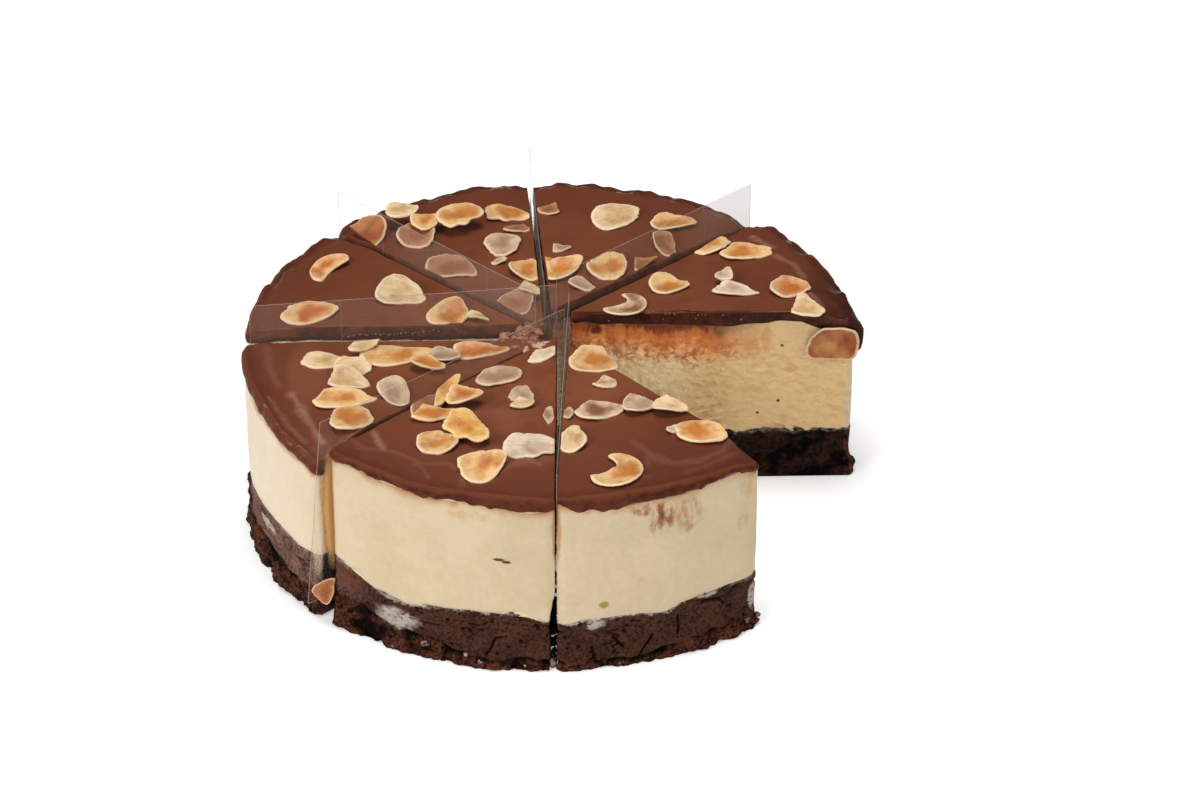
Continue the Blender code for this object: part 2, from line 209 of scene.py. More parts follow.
def cream_height(piece, along, across):
    plain = layer_height(piece.lower_mm, CREAM_TOP, along, across)
    if piece.name != "right":
        return plain
    return plain + (along_list(OPEN_LOWER_MM, along) - plain) * near_cut(piece, across)


def icing_height(piece, along, across):
    return layer_height(piece.top_mm, ICING_TOP, along, across)


def in_slice(piece, along, across, stand_out, height):
    """The place of a point of the slice, at its height, with its rim moved out by stand_out."""
    radius = CAKE_RADIUS + stand_out - CORNER_ROUND * near_corner(across)
    rim = rim_point(piece, across, radius)
    run = rim - plan(piece.tip_mm)
    tip = plan(piece.tip_mm) + Vector((-run.y, run.x)).normalized() * (across - 0.5) * TIP_WIDTH
    place = tip.lerp(rim, along) + lean(piece, height)
    return Vector((place.x, place.y, height))


# Finishes

def srgb(screen, light=1.0):
    """A colour given as it looks on screen, from 0 to 255, in the linear values that shaders take."""
    parts = [value * light / 255 for value in screen]
    return (*[part / 12.92 if part <= 0.04045 else ((part + 0.055) / 1.055) ** 2.4 for part in parts], 1.0)


class Finish:
    """A material under construction: its colour so far, and short names for the nodes it is made of."""

    def __init__(self, name, light=1.0, **sockets):
        self.material = bpy.data.materials.new(name)
        self.material.use_nodes = True
        self.tree = self.material.node_tree
        self.shader = self.tree.nodes["Principled BSDF"]
        for socket, value in sockets.items():
            self.shader.inputs[socket.replace("_", " ")].default_value = value
        self.place = self.node("TexCoord", {})["Object"]
        self.light = light
        self.base = None

    def feed(self, socket, value):
        if isinstance(value, bpy.types.NodeSocket):
            self.tree.links.new(value, socket)
        else:
            socket.default_value = value

    def node(self, kind, inputs, **settings):
        """The outputs of a new node, with its inputs fed by name or by number."""
        node = self.tree.nodes.new("ShaderNode" + kind)
        for name, setting in settings.items():
            setattr(node, name, setting)
        for socket, value in inputs.items():
            self.feed(node.inputs[socket], value)
        return node.outputs

    def maths(self, operation, *values):
        return self.node("Math", dict(enumerate(values)), operation=operation)[0]

    def vectors(self, operation, *values):
        return self.node("VectorMath", dict(enumerate(values)), operation=operation)

    def scaled(self, value, factor, added):
        return self.maths("MULTIPLY_ADD", value, factor, added)

    def times(self, first, *others):
        for other in others:
            first = self.maths("MULTIPLY", first, other)
        return first

    def most(self, first, *others):
        for other in others:
            first = self.maths("MAXIMUM", first, other)
        return first

    def spread(self, size, offset=(0.0, 0.0, 0.0)):
        """The piece's coordinates, counted in steps of a size, or of one for each of X, Y and Z."""
        steps = size if isinstance(size, tuple) else (size, size, size)
        scale = [1 / step for step in steps]
        return self.node("Mapping", {"Vector": self.place, "Location": offset, "Scale": scale})[0]

    def noise(self, size, detail=3.0, rough=0.5, offset=(0.0, 0.0, 0.0)):
        inputs = {"Vector": self.spread(size, offset), "Scale": 1.0, "Detail": detail, "Roughness": rough}
        return self.node("TexNoise", inputs)["Fac"]

    def cells(self, size, feature="F1", warp=0.0):
        """How far the nearest cell's middle or edge is, with the cells swayed by up to warp steps."""
        steps = self.spread(size)
        if warp:
            sway = self.node("TexNoise", {"Vector": steps, "Scale": 0.7})["Color"]
            steps = self.vectors("MULTIPLY_ADD", sway, (2 * warp, 2 * warp, 2 * warp), steps)[0]
        return self.node("TexVoronoi", {"Vector": steps, "Scale": 1.0}, feature=feature)["Distance"]

    def ramp(self, value, low, high, first=0.0, last=1.0):
        """first where value is below low, last where it is above high, and smooth between."""
        inputs = dict(enumerate((value, low, high, first, last)))
        return self.node("MapRange", inputs, interpolation_type="SMOOTHSTEP")[0]

    def fade(self, value, low, high):
        return self.ramp(value, low, high, 1.0, 0.0)

    def patches(self, low, high, *pattern):
        """0 where a noise is below low, 1 where it is above high, and smooth between."""
        return self.ramp(self.noise(*pattern), low, high)

    def attribute(self, name, output="Fac"):
        return self.node("Attribute", {}, attribute_name=name)[output]

    def axis(self, name):
        """One of the piece's own coordinates."""
        return self.node("SeparateXYZ", {0: self.place})[name]

    def apart(self, place, middle, reach):
        """How far a place is from a middle, counted in reaches along each axis."""
        gap = self.vectors("SUBTRACT", place, middle)[0]
        return self.vectors("LENGTH", self.vectors("DIVIDE", gap, reach)[0])["Value"]

    def spot(self, centre_mm, reach_mm, ragged=0.0, grain=0.004):
        """1 at a place on the piece, falling to 0 at its reach along X, Y and Z, with a ragged edge."""
        flat = plan(centre_mm)
        reach = [value * MM for value in reach_mm]
        distance = self.apart(self.place, (flat.x, flat.y, centre_mm[2] * MM), reach)
        if ragged:
            wobble = self.scaled(self.noise(grain, 4), 2 * ragged, -ragged)
            distance = self.maths("ADD", distance, wobble)
        return self.fade(distance, 0.55, 1.0)

    def mix(self, part, first, second):
        """Two colours, each a socket or a colour as it looks on screen, mixed by part."""
        tones = [srgb(tone, self.light) if isinstance(tone, tuple) else tone for tone in (first, second)]
        return self.node("Mix", {0: part, 6: tones[0], 7: tones[1]}, data_type="RGBA")[2]

    def over(self, part, tone, strength=1.0):
        """Lays a tone over the colour so far, where part says."""
        self.base = self.mix(part if strength == 1.0 else self.times(part, strength), self.base, tone)

    def bump(self, height, depth, strength=1.0):
        """Bump from a height field of 0 to 1 that stands for a depth in metres."""
        inputs = {"Strength": strength, "Distance": depth, "Height": height}
        self.feed(self.shader.inputs["Normal"], self.node("Bump", inputs)["Normal"])

    def roughness(self, value):
        self.feed(self.shader.inputs["Roughness"], value)

    def done(self):
        """The material, with the colour so far as its own."""
        self.feed(self.shader.inputs["Base Color"], self.base)
        return self.material


def brownie_finish(name, light):
    """Dense dark brownie: smooth skin with small pits and a reddish crumb, with painted shade where it is
    pitted, cracked or deep.
    """
    made = Finish(name, light, Roughness=0.7, Specular_IOR_Level=0.05)
    patches = made.noise(0.0075, 4, 0.6)
    mottle = made.scaled(made.noise(0.0011, 3, 0.6), 0.6, made.times(patches, 0.4))
    crumb = made.mix(made.ramp(mottle, 0.38, 0.62), (38, 17, 10), (104, 60, 43))
    left = made.fade(made.axis("X"), -0.085, -0.06)
    dark_skin = made.mix(left, (48, 27, 20), (70, 46, 38))
    light_skin = made.mix(left, (84, 53, 41), (136, 100, 86))
    skin = made.mix(made.ramp(mottle, 0.36, 0.62), dark_skin, light_skin)
    made.base = made.mix(made.attribute("skin"), crumb, skin)
    holes = made.fade(made.cells((0.0021, 0.0021, 0.0012)), 0.12, 0.3)
    holes = made.times(holes, made.patches(0.42, 0.55, 0.0046, 3, 0.6, (3, 1, 7)))
    crevices = made.fade(made.noise((0.0022, 0.0022, 0.0015), 4, 0.62, (8, 8, 2)), 0.36, 0.46)
    pits = made.most(holes, made.times(crevices, made.maths("SUBTRACT", 1.1, made.attribute("skin"))))
    # Painted shade in the pits, crevices and cracks, and deep in the crumb
    made.over(made.most(made.attribute("deep"), made.times(pits, 0.85)), (17, 7, 4))
    upper = made.fade(made.attribute("below"), 0.0, 0.1)
    made.over(made.times(upper, made.patches(0.4, 0.62, 0.005, 3, 0.6, (2, 9, 9))), (132, 100, 90), 0.55)
    # The colours above are darkened by light, which paints the shade of the cuts; the frost and the spot
    # below are not
    made.light = 1.0
    made.over(made.most(frost_round_the_front(made), frost_line(made)), (200, 186, 174), 0.85)
    made.over(made.spot((-70.0, -84.0, 21.5), (9.0, 8.0, 5.5), 0.4, 0.006), (108, 62, 50), 0.6)
    made.bump(made.maths("SUBTRACT", made.noise(0.0009, 5, 0.65), made.times(pits, 0.8)), 0.0006)
    made.roughness(made.ramp(patches, 0.3, 0.7, 0.55, 0.85))
    return made.done()


# How light the brownie is on its cuts, beside its outside: painted shade, a darker copy of its finish for the
# gaps between the slices
BROWNIE_CUT_PAINTED_SHADE = 0.6
# Places where the cream ran over the brownie's skin, each with its reach, in millimetres
FROST_MM = (
    ((15, -109, 18.2), (4, 4, 2.8)),
    ((36, -103.8, 20.4), (8, 5, 1.8)),
    ((54, -96, 21.6), (6, 6, 2)),
    ((70.5, -84.5, 12.5), (2.4, 4, 6.5)),
    ((-100.5, -44, 18.6), (6, 9, 2.4)),
)


def frost_round_the_front(made):
    """Patches where the cream ran over the brownie's skin."""
    widest = made.spot((-53.5, -96.0, 12.8), (10.5, 8.0, 5.2), 0.5, 0.004)
    patch = made.most(widest, *[made.spot(centre, reach, 0.6, 0.003) for centre, reach in FROST_MM])
    return made.times(patch, made.patches(0.34, 0.52, (0.0022, 0.0022, 0.0011), 5, 0.7))


def frost_line(made):
    """A broken pale line along the brownie's upper edge, widest round the front."""
    front = made.ramp(made.axis("Y"), -0.1, -0.085, 1.0, 0.35)
    ragged = made.noise(0.0045, 4, 0.65, (5, 2, 9))
    line = made.fade(made.scaled(ragged, -0.28, made.attribute("below")), -0.14, -0.075)
    return made.times(line, front, made.patches(0.38, 0.56, 0.0016, 3, 0.6))


def cream_finish(name, pale, deep):
    """Chilled cream: pale, softly mottled and slightly see-through."""
    made = Finish(
        name, Roughness=0.5, Specular_IOR_Level=0.2,
        Subsurface_Weight=0.2, Subsurface_Scale=0.003, Subsurface_Radius=(1.0, 0.6, 0.3),
    )
    coarse = made.times(made.noise(0.022, 4, 0.55), 0.65)
    mottle = made.scaled(made.noise(0.0026, 3, 0.6), 0.35, coarse)
    made.base = made.mix(made.ramp(mottle, 0.36, 0.64), deep, pale)
    return made


# Stains and marks on the outside of the cream: middle and reach in millimetres, colour, strength
SIDE_STAINS = (
    ((38, -103.2, 57.5), (5.2, 5, 8), (138, 66, 34), 1),
    ((34.5, -104.4, 62.2), (9, 5, 3.2), (150, 80, 44), 0.9),
    ((47, -99.6, 57), (8, 6, 8), (178, 122, 76), 0.75),
    ((-27, -106.6, 61.4), (12, 6, 2.6), (196, 160, 108), 0.6),
    ((67.5, -87, 61), (4, 5, 7), (190, 152, 92), 0.5),
    ((66.5, -88, 46), (3, 5, 4), (190, 152, 92), 0.5),
)
SIDE_RUNS = (
    ((-76.2, -79.4, 46), (1.5, 1.7, 36), (152, 88, 48), 0.75),
    ((1.8, -109.8, 56), (2, 3, 16), (184, 132, 76), 0.75),
)
SIDE_DOTS_MM = ((-99.8, -46.2, 47.7), (-98.3, -49.5, 38.5), (-104, -34, 51))


def cream_side_finish():
    """The outside of the cream, smoothed by its ring, with painted light on the left and painted shade on the
    right, stains and painted shade below the icing, and a few marks.
    """
    made = cream_finish("cream_side", (216, 196, 162), (206, 186, 150))
    # Painted light on the left, where the light falls, and painted shade on the right
    made.over(made.fade(made.axis("X"), -0.1, -0.055), (228, 211, 186), 0.6)
    made.over(made.ramp(made.axis("X"), 0.055, 0.08), (200, 181, 138), 0.5)
    # A band below the icing's edge, partly where the icing stained the cream and partly painted shade under
    # its overhang, so it never fades out entirely
    ragged = made.noise((0.005, 0.005, 0.01), 4, 0.6, (3, 3, 3))
    halo = made.fade(made.scaled(ragged, 0.09, made.attribute("below")), 0.03, 0.13)
    more = made.times(made.spot((-84.0, -70.0, 58.0), (26.0, 34.0, 14.0)), 0.95)
    patchy = made.ramp(made.noise((0.012, 0.012, 0.02), 4, 0.6), 0.36, 0.62, 0.3, 1.0)
    made.over(made.times(halo, made.most(patchy, more)), (190, 120, 70), 0.9)
    foot = made.ramp(made.attribute("below"), 0.93, 1.0)
    made.over(made.times(foot, made.patches(0.34, 0.6, 0.004, 3)), (206, 184, 168), 0.7)
    streaks = made.patches(0.36, 0.66, (0.0028, 0.0028, 0.006), 4, 0.6, (1, 6, 2))
    for centre, reach, stain_and_painted_light, strength in SIDE_STAINS:
        made.over(made.times(made.spot(centre, reach, 0.5, 0.004), streaks), stain_and_painted_light, strength)
    for centre, reach, stain_and_painted_light, strength in SIDE_RUNS:
        made.over(made.spot(centre, reach, 0.35, 0.003), stain_and_painted_light, strength)
    scratch = made.spot((-17.9, -108.6, 45.0), (2.6, 3.0, 0.8), 0.2, 0.002)
    scratch = made.most(scratch, made.spot((-15.4, -109.0, 44.2), (2.2, 3.0, 0.8), 0.2, 0.002))
    made.over(scratch, (104, 42, 30))
    made.over(made.spot((18.1, -108.5, 25.5), (2.1, 3.0, 1.7), 0.1, 0.002), (156, 142, 72))
    for centre in SIDE_DOTS_MM:
        made.over(made.spot(centre, (0.7, 0.9, 0.8)), (120, 96, 70))
    made.bump(made.noise((0.0028, 0.0028, 0.0016), 4, 0.55), 0.0004, 0.4)
    made.roughness(made.ramp(made.noise(0.01, 3), 0.3, 0.7, 0.42, 0.58))
    return made.done()


# Marks on the cream beside the missing slice, in millimetres
CUT_MARKS_MM = (
    ((79, 13, 60.5), (2.6, 2, 7)),
    ((72, 13, 57), (5, 2, 3.5)),
    ((88, 13, 47), (3, 2, 2.4)),
)
CUT_DOTS_MM = ((84.5, 13, 56.5), (83.5, 13, 33), (76, 12.9, 28))


def cream_cut_finish():
    """The cream where it was cut: wrinkled, with painted shade in its wrinkles and painted light across it,
    and stained by the icing that the knife dragged down.
    """
    # Painted light: the cut cream is very pale, to make up for the shade in the cuts, and darker beyond about
    # 30 to 60 mm to the right
    made = cream_finish("cream_cut", (255, 236, 192), (250, 220, 170))
    made.over(made.ramp(made.axis("X"), 0.028, 0.062), (222, 188, 134), 0.9)
    # Painted shade in the wrinkles
    made.over(made.attribute("deep"), (222, 176, 116), 0.3)
    # Painted light: the cut face in the left front slit is painted pale orange, as if lit, against the shade
    # there
    made.over(made.spot((-77.0, -77.5, 42.0), (7.0, 7.0, 40.0)), (252, 212, 144))
    region = made.spot((22.0, 12.6, 64.0), (62.0, 8.0, 60.0), 0.14, 0.014)
    down_mm = made.scaled(made.noise((0.0024, 0.0024, 0.014), 4, 0.62), 11.0, -11.5)
    down_mm = made.scaled(made.noise((0.009, 0.009, 0.02), 3, 0.5, (3, 0, 8)), 12.0, down_mm)
    down_mm = made.scaled(made.attribute("below"), 46.0, down_mm)
    dragged = made.mix(made.ramp(down_mm, 0.3, 3.4), (118, 54, 24), (200, 116, 60))
    dragged = made.mix(made.ramp(down_mm, 3.0, 9.0), dragged, (236, 154, 84))
    darker = made.times(made.patches(0.46, 0.64, (0.0036, 0.0036, 0.007), 4, 0.6, (6, 6, 1)), 0.6)
    dragged = made.mix(darker, dragged, (178, 90, 40))
    made.over(made.times(made.fade(down_mm, 7.0, 17.0), region), dragged)
    web = made.fade(made.cells((0.0044, 0.0044, 0.003), "DISTANCE_TO_EDGE", 1.1), 0.0, 0.32)
    web = made.times(web, made.ramp(down_mm, 5.0, 8.0), made.fade(down_mm, 13.0, 20.0))
    web = made.times(web, made.patches(0.4, 0.56, 0.0045, 3, 0.6, (9, 1, 1)), region)
    made.over(web, (184, 98, 44), 0.9)
    for centre, reach in CUT_MARKS_MM:
        made.over(made.spot(centre, reach, 0.7, 0.003), (206, 142, 84), 0.5)
    for centre in CUT_DOTS_MM:
        made.over(made.spot(centre, (0.8, 2.0, 0.8)), (110, 66, 34))
    made.over(made.spot((17.0, 12.5, 64.0), (2.6, 2.0, 2.2), 0.5, 0.002), (100, 40, 16))
    made.bump(made.noise((0.003, 0.003, 0.0015), 3, 0.55), 0.0018, 0.9)
    return made.done()


# Soft glints painted on the icing's top, where the light catches it, in millimetres
SOFT_GLINTS_MM = (
    ((-86, -30, 70.5), (9, 26, 9)),
    ((-12, -84, 70), (20, 10, 9)),
    ((-22, -62, 70), (16, 10, 9)),
)


def icing_finish():
    """Milk chocolate icing: satin, darker towards the rim, with painted soft glints and a painted sheen on
    the spatula's ridges.
    """
    made = Finish("icing", Roughness=0.3, Specular_IOR_Level=0.2)
    outward = made.attribute("outward")
    reach = made.scaled(made.noise(0.03, 3), 0.3, outward)
    made.base = made.mix(made.ramp(reach, 0.5, 1.15), (133, 75, 48), (106, 55, 35))
    made.over(made.patches(0.35, 0.75, 0.02, 4, 0.6), (110, 59, 38))
    right = made.times(made.ramp(made.axis("X"), 0.01, 0.05), made.fade(made.axis("Y"), -0.05, -0.03))
    made.over(right, (96, 47, 29), 0.6)
    made.over(made.ramp(made.axis("Y"), 0.0, 0.03), (104, 52, 31), 0.4)
    for centre, size in SOFT_GLINTS_MM:
        made.over(made.spot(centre, size, 0.3, 0.012), (146, 92, 66), 0.3)
    swirl = made.ramp(made.noise(0.0022, 3, 0.6, (4, 8, 8)), 0.34, 0.62, 0.7, 1.1)
    # Painted highlight along the spatula's ridges
    made.over(made.times(made.attribute("sheen"), swirl), (184, 138, 118))
    near_rim = made.ramp(made.scaled(made.noise(0.006, 3), 0.06, outward), 0.97, 1.03)
    made.over(made.times(near_rim, made.ramp(made.axis("Y"), 0.01, 0.05, 0.5, 0.9)), (80, 37, 23))
    swayed = made.maths("ADD", outward, made.scaled(made.noise(0.008, 3), 0.12, -0.06))
    wide = made.times(made.ramp(swayed, 0.84, 0.96), made.ramp(made.axis("Y"), 0.015, 0.06, 1.0, 0.1))
    wide = made.times(wide, made.ramp(made.axis("X"), 0.06, 0.08), made.ramp(made.axis("Y"), -0.01, 0.0))
    made.over(wide, (58, 26, 17), 0.85)
    waves = made.noise(0.009, 3, 0.5)
    made.bump(made.scaled(made.noise(0.0016, 3, 0.5), 0.06, waves), 0.0006, 0.5)
    made.roughness(made.ramp(made.noise(0.018, 4), 0.3, 0.7, 0.26, 0.42))
    return made.done()


def icing_rim_finish():
    """The icing's own edge round the rim: duller, dark reddish brown at its foot, with a painted highlight on
    the left.
    """
    made = Finish("icing_rim", Roughness=0.5, Specular_IOR_Level=0.06)
    below = made.attribute("below")
    made.base = made.mix(made.patches(0.36, 0.64, 0.005, 4, 0.6), (72, 31, 19), (98, 49, 32))
    made.over(made.ramp(below, 0.6, 1.0), (78, 32, 17), 0.6)
    depth = made.scaled(made.noise(0.006, 3, 0.6, (2, 2, 7)), 0.5, below)
    made.over(made.fade(depth, 0.25, 0.65), (106, 57, 38))
    # A painted highlight along the rim on the left, where the light falls
    shine = made.ramp(made.noise((0.005, 0.005, 0.002), 3, 0.6, (4, 8, 8)), 0.5, 0.64, 0.0, 0.7)
    left = made.spot((-94.0, -60.0, 67.0), (18.0, 24.0, 20.0), 0.2, 0.01)
    made.over(made.times(shine, left, made.fade(depth, 0.3, 0.7)), (146, 98, 80))
    made.over(made.spot((106.0, 18.0, 64.0), (17.0, 30.0, 20.0), 0.2, 0.01), (48, 21, 14), 0.85)
    made.bump(made.noise(0.0016, 3), 0.0003, 0.5)
    return made.done()


def icing_cut_finish():
    """The icing where it was cut: nearly black beside the missing slice, and painted a lighter brown between
    the slices to make up for the shade there.
    """
    made = Finish("icing_cut", Roughness=0.32, Specular_IOR_Level=0.1)
    below = made.attribute("below")
    # Painted light: a lighter brown than the icing's own, for the cuts in the shade between the slices
    made.base = made.mix(made.patches(0.35, 0.65, 0.006, 3), (92, 48, 34), (122, 70, 52))
    made.over(made.ramp(below, 0.5, 0.9), (64, 30, 20))
    dark = made.mix(made.patches(0.35, 0.65, 0.004, 4, 0.6), (48, 22, 14), (74, 36, 24))
    dark = made.mix(made.fade(below, 0.0, 0.25), dark, (96, 50, 34))
    made.over(made.spot((60.0, 12.6, 66.0), (62.0, 5.0, 30.0)), dark)
    bubbles = made.ramp(made.cells(0.0016), 0.1, 0.3)
    made.bump(made.maths("ADD", bubbles, made.noise(0.0025, 3)), 0.0004, 0.7)
    return made.done()


def almond_finish():
    """Toasted almond: a thin pale rim, browner towards the middle, with a fine grain along its length."""
    made = Finish("almond", Roughness=0.42, Specular_IOR_Level=0.25)
    uv = made.node("UVMap", {})["UV"]
    out = made.apart(uv, (0.5, 0.5, 0.0), (0.5, 0.5, 1.0))
    drift = made.scaled(made.noise(0.0075, 2, 0.5, (4, 4, 4)), 2.4, -1.3)
    wobble = made.scaled(made.noise(0.0025, 3), 0.3, -0.15)
    heart = made.fade(made.maths("ADD", made.maths("ADD", out, wobble), drift), 0.0, 1.0)
    made.base = made.mix(heart, made.attribute("rim", "Color"), made.attribute("heart", "Color"))
    through = made.patches(0.46, 0.68, 0.0052, 3, 0.6, (7, 3, 3))
    made.over(made.times(through, made.ramp(out, 0.68, 0.92, 1.0, 0.2)), (150, 96, 66), 0.42)
    stretched = made.node("Mapping", {"Vector": uv, "Scale": (1.8, 15.0, 1.0)})[0]
    grain = made.node("TexNoise", {"Vector": stretched, "Scale": 1.0})["Fac"]
    made.over(made.ramp(grain, 0.42, 0.66), (150, 100, 62), 0.2)
    made.over(made.ramp(out, 0.86, 0.96), (252, 226, 194), 0.6)
    made.bump(made.maths("ADD", made.noise(0.0012, 4, 0.6), grain), 0.0002, 0.5)
    made.roughness(made.ramp(heart, 0.0, 1.0, 0.5, 0.34))
    return made.done()


def film_finish():
    """Clear film: tinted by a painted reflection of the cake round it, with painted shade and light in the
    slits below the icing, and pale edges and creases.
    """
    made = Finish("film", Roughness=0.25, Specular_IOR_Level=0.15, IOR=1.12)
    line = made.attribute("line")
    y = made.axis("Y")
    # Below the icing, the films in the back and front slits are painted over, raggedly near the tips: painted
    # shade, dark, along most of each slit, and painted light, orange, near the tip of the front slit
    bare = made.ramp(made.noise(0.006, 4, 0.6), 0.4, 0.6, 0.25, 1.0)
    bare = made.most(bare, made.fade(y, -0.03, -0.008), made.ramp(y, 0.004, 0.016))
    painted_slit_cover = made.times(made.attribute("smeared"), made.fade(made.axis("Z"), 0.064, 0.071), bare)
    inner = made.times(made.ramp(y, -0.07, -0.04), made.fade(y, 0.0, 0.008))
    smeared = made.mix(inner, (26, 15, 11), (220, 162, 100))
    # Painted light: a pale orange patch on the film in the left front slit, for the lit cut face behind it
    stain_and_painted_light = made.spot((-76.0, -78.0, 46.0), (4.6, 4.6, 30.0), 0.2, 0.006)
    milky = made.spot((-81.0, -83.0, 40.0), (3.8, 3.8, 24.0), 0.25, 0.01)
    # The film's tint is a painted reflection of the cake round it, paler where cream clings to the left front
    # film
    made.base = made.mix(milky, (172, 150, 136), (236, 222, 198))
    made.over(stain_and_painted_light, (240, 196, 128))
    made.over(line, (178, 162, 156))
    made.over(painted_slit_cover, smeared)
    cover = made.most(made.attribute("veil"), made.ramp(line, 0.0, 1.0, 0.0, 0.6))
    cover = made.most(cover, made.times(milky, 0.3), made.times(stain_and_painted_light, 0.6), made.times(painted_slit_cover, 0.92))
    made.feed(made.shader.inputs["Alpha"], cover)
    return made.done()


def crumb_finish(name, dark, pale):
    made = Finish(name, Roughness=0.7, Specular_IOR_Level=0.35)
    made.base = made.mix(made.patches(0.35, 0.65, 0.002, 4), dark, pale)
    made.bump(made.noise(0.0009, 4), 0.0003, 0.8)
    return made.done()


def bubble_finish():
    made = Finish("bubbles", Roughness=0.15, Specular_IOR_Level=0.5)
    made.base = made.mix(made.noise(0.002), (84, 42, 30), (150, 106, 88))
    return made.done()


def floor_finish():
    made = Finish("white_floor", Roughness=0.9, Specular_IOR_Level=0.1, Emission_Strength=0.3)
    made.shader.inputs["Emission Color"].default_value = (1.0, 1.0, 1.0, 1.0)
    made.base = made.mix(made.noise(0.4, 2), (247, 247, 247), (249.3, 249.3, 249.3))
    return made.done()


# Meshes

def add_to_scene(name, data):
    item = bpy.data.objects.new(name, data)
    bpy.context.scene.collection.objects.link(item)
    return item


def add_piece(name, bm, materials, nodes=()):
    """Makes the bmesh a smooth-shaded piece that rides on the cake and stands for the nodes named."""
    mesh = bpy.data.meshes.new(name)
    bm.to_mesh(mesh)
    bm.free()
    for material in materials:
        mesh.materials.append(material)
    mesh.shade_smooth()
    piece = add_to_scene(name, mesh)
    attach(piece, "root")
    if nodes:
        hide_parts(*nodes)
    return piece


def only(kind, items):
    """The points, the edges or the faces among what an operator returned."""
    return [item for item in items if isinstance(item, kind)]


def draw_up(bm, edges, rings, step):
    """Draws a loop of edges up or down ring by ring, and returns its last edges."""
    for _ in range(rings):
        drawn = bmesh.ops.extrude_edge_only(bm, edges=edges)["geom"]
        points = set(only(bmesh.types.BMVert, drawn))
        edges = [edge for edge in only(bmesh.types.BMEdge, drawn) if points.issuperset(edge.verts)]
        bmesh.ops.translate(bm, verts=list(points), vec=(0, 0, step))
    return edges


def new_layers(bm, *names):
    return [bm.verts.layers.float.new(name) for name in names]


def shift_by_relief(bm, reliefs):
    """Moves each point along its normal by its relief."""
    bm.normal_update()
    moved = [vert.co + vert.normal * relief for vert, relief in zip(bm.verts, reliefs)]
    for vert, place in zip(bm.verts, moved):
        vert.co = place


# The front slice's foot stands back from the cut at its right by this share of its turn, up to a height
GAPE = 0.024
GAPE_HEIGHTS = (0.018, 0.033)


def gape(piece, height):
    """How much of its turn the front slice stands back at a height."""
    return GAPE * (1 - smooth_step(*GAPE_HEIGHTS, height)) if piece.name == "front" else 0.0


def layer_wall(piece, floor, ceiling, steps, stand_out, relief):
    """One layer of a slice: its outline in plan drawn up in rings, closed at the top and bottom.

    steps are how many parts each cut, the rim and the height are divided in. relief gives how far a
    point stands out in millimetres, whether it is smooth skin and how deep it lies, both from 0 to 1.
    """
    cut_steps, rim_steps, rings = steps
    stations = [(step / cut_steps, 0.0) for step in range(cut_steps)]
    stations += [(1.0, step / rim_steps) for step in range(rim_steps)]
    stations += [(1 - step / cut_steps, 1.0) for step in range(cut_steps)]
    bm = bmesh.new()
    bmesh.ops.create_circle(bm, cap_ends=False, segments=len(stations), radius=1.0)
    foot = list(bm.edges)
    head = draw_up(bm, foot, rings, 1.0)
    below, skin, deep = new_layers(bm, "below", "skin", "deep")
    reliefs = []
    for vert in bm.verts:
        turn = math.atan2(-vert.co.x, vert.co.y) / math.tau % 1.0
        along, across = stations[round(turn * len(stations)) % len(stations)]
        part = round(vert.co.z) / rings
        low = floor(piece, along, across)
        height = low + (ceiling(piece, along, across) - low) * part
        vert.co = in_slice(piece, along, across * (1 - gape(piece, height)), stand_out(part), height)
        vert[below] = 1 - part
        push, vert[skin], vert[deep] = relief(piece, vert.co, part, along, across)
        reliefs.append(push * MM)
    bmesh.ops.holes_fill(bm, edges=foot + head, sides=0)
    bmesh.ops.recalc_face_normals(bm, faces=bm.faces)
    shift_by_relief(bm, reliefs)
    for vert in bm.verts:
        vert.co.z = max(vert.co.z, 0.0)
    for face in bm.faces:
        face.material_index = 0 if is_rim(piece, face.calc_center_median()) else 1
    return bm


# How high above the floor the smooth skin of the brownie's outside ends, along a slice's rim
LEDGE_MM = {
    "left_back": (7, 8, 6, 7, 8, 9, 8, 9, 9),
    "left_front": (9.5, 10, 9, 11.5, 12, 10.5, 10, 9.5, 11),
    "front": (14.6, 12.4, 10.8, 9.4, 7.6, 5.4, 4.2, 4.4, 4.9),
    "front_right": (3.6, 3.8, 3.4, 2.7, 4, 6, 5.8, 5.2, 4.8),
}
PLAIN_LEDGE_MM = (7, 8, 6, 5, 7, 8, 6, 7, 6.5)

# Cracks in the skin, as lines of points at an angle round the cake and a height in millimetres
CRACKS = (
    ((-99, 12.6), (-100.2, 12), (-100.7, 9), (-101.9, 5.4)),
    ((-74.3, 2.8), (-71.4, 9.6)),
    ((-78.8, 11.6), (-77.1, 6.9)),
    ((-82.8, 8.3), (-82, 1.4)),
    ((-66.5, 15.5), (-66.5, 8.2)),
)
CRACK_WIDTH_MM = 0.55


def from_line(point, line):
    """How far a point in plan lies from a line of points."""
    nearest = 1e9
    for start, end in zip(line, line[1:]):
        run = Vector(end) - Vector(start)
        part = min(max((point - Vector(start)).dot(run) / run.length_squared, 0.0), 1.0)
        nearest = min(nearest, (point - Vector(start) - run * part).length)
    return nearest


def cracked(place):
    """1 in one of the cracks round the outside, 0 away from them."""
    turn = math.atan2(place.y - AXIS_Y, place.x - AXIS_X)
    spot = Vector((turn * CAKE_RADIUS / MM, place.z / MM))
    spot.x += 0.5 * noise.noise(place / 0.003)
    flat = [[(math.radians(angle) * CAKE_RADIUS / MM, height) for angle, height in line] for line in CRACKS]
    nearest = min(from_line(spot, line) for line in flat)
    return 1 - smooth_step(0.2 * CRACK_WIDTH_MM, 1.3 * CRACK_WIDTH_MM, nearest)


def is_rim(piece, point):
    """True for a point of the slice's round outside, False for one of its cuts."""
    centre = plan(piece.centre_mm) + lean(piece, point.z)
    return (Vector((point.x, point.y)) - centre).length > CAKE_RADIUS - RIM_BAND


# Brownie base

def brownie_side(part):
    """How far the brownie stands out from the cake's radius."""
    return (-0.1 + 1.3 * (1 - smooth_step(0.05, 0.55, part))) * MM


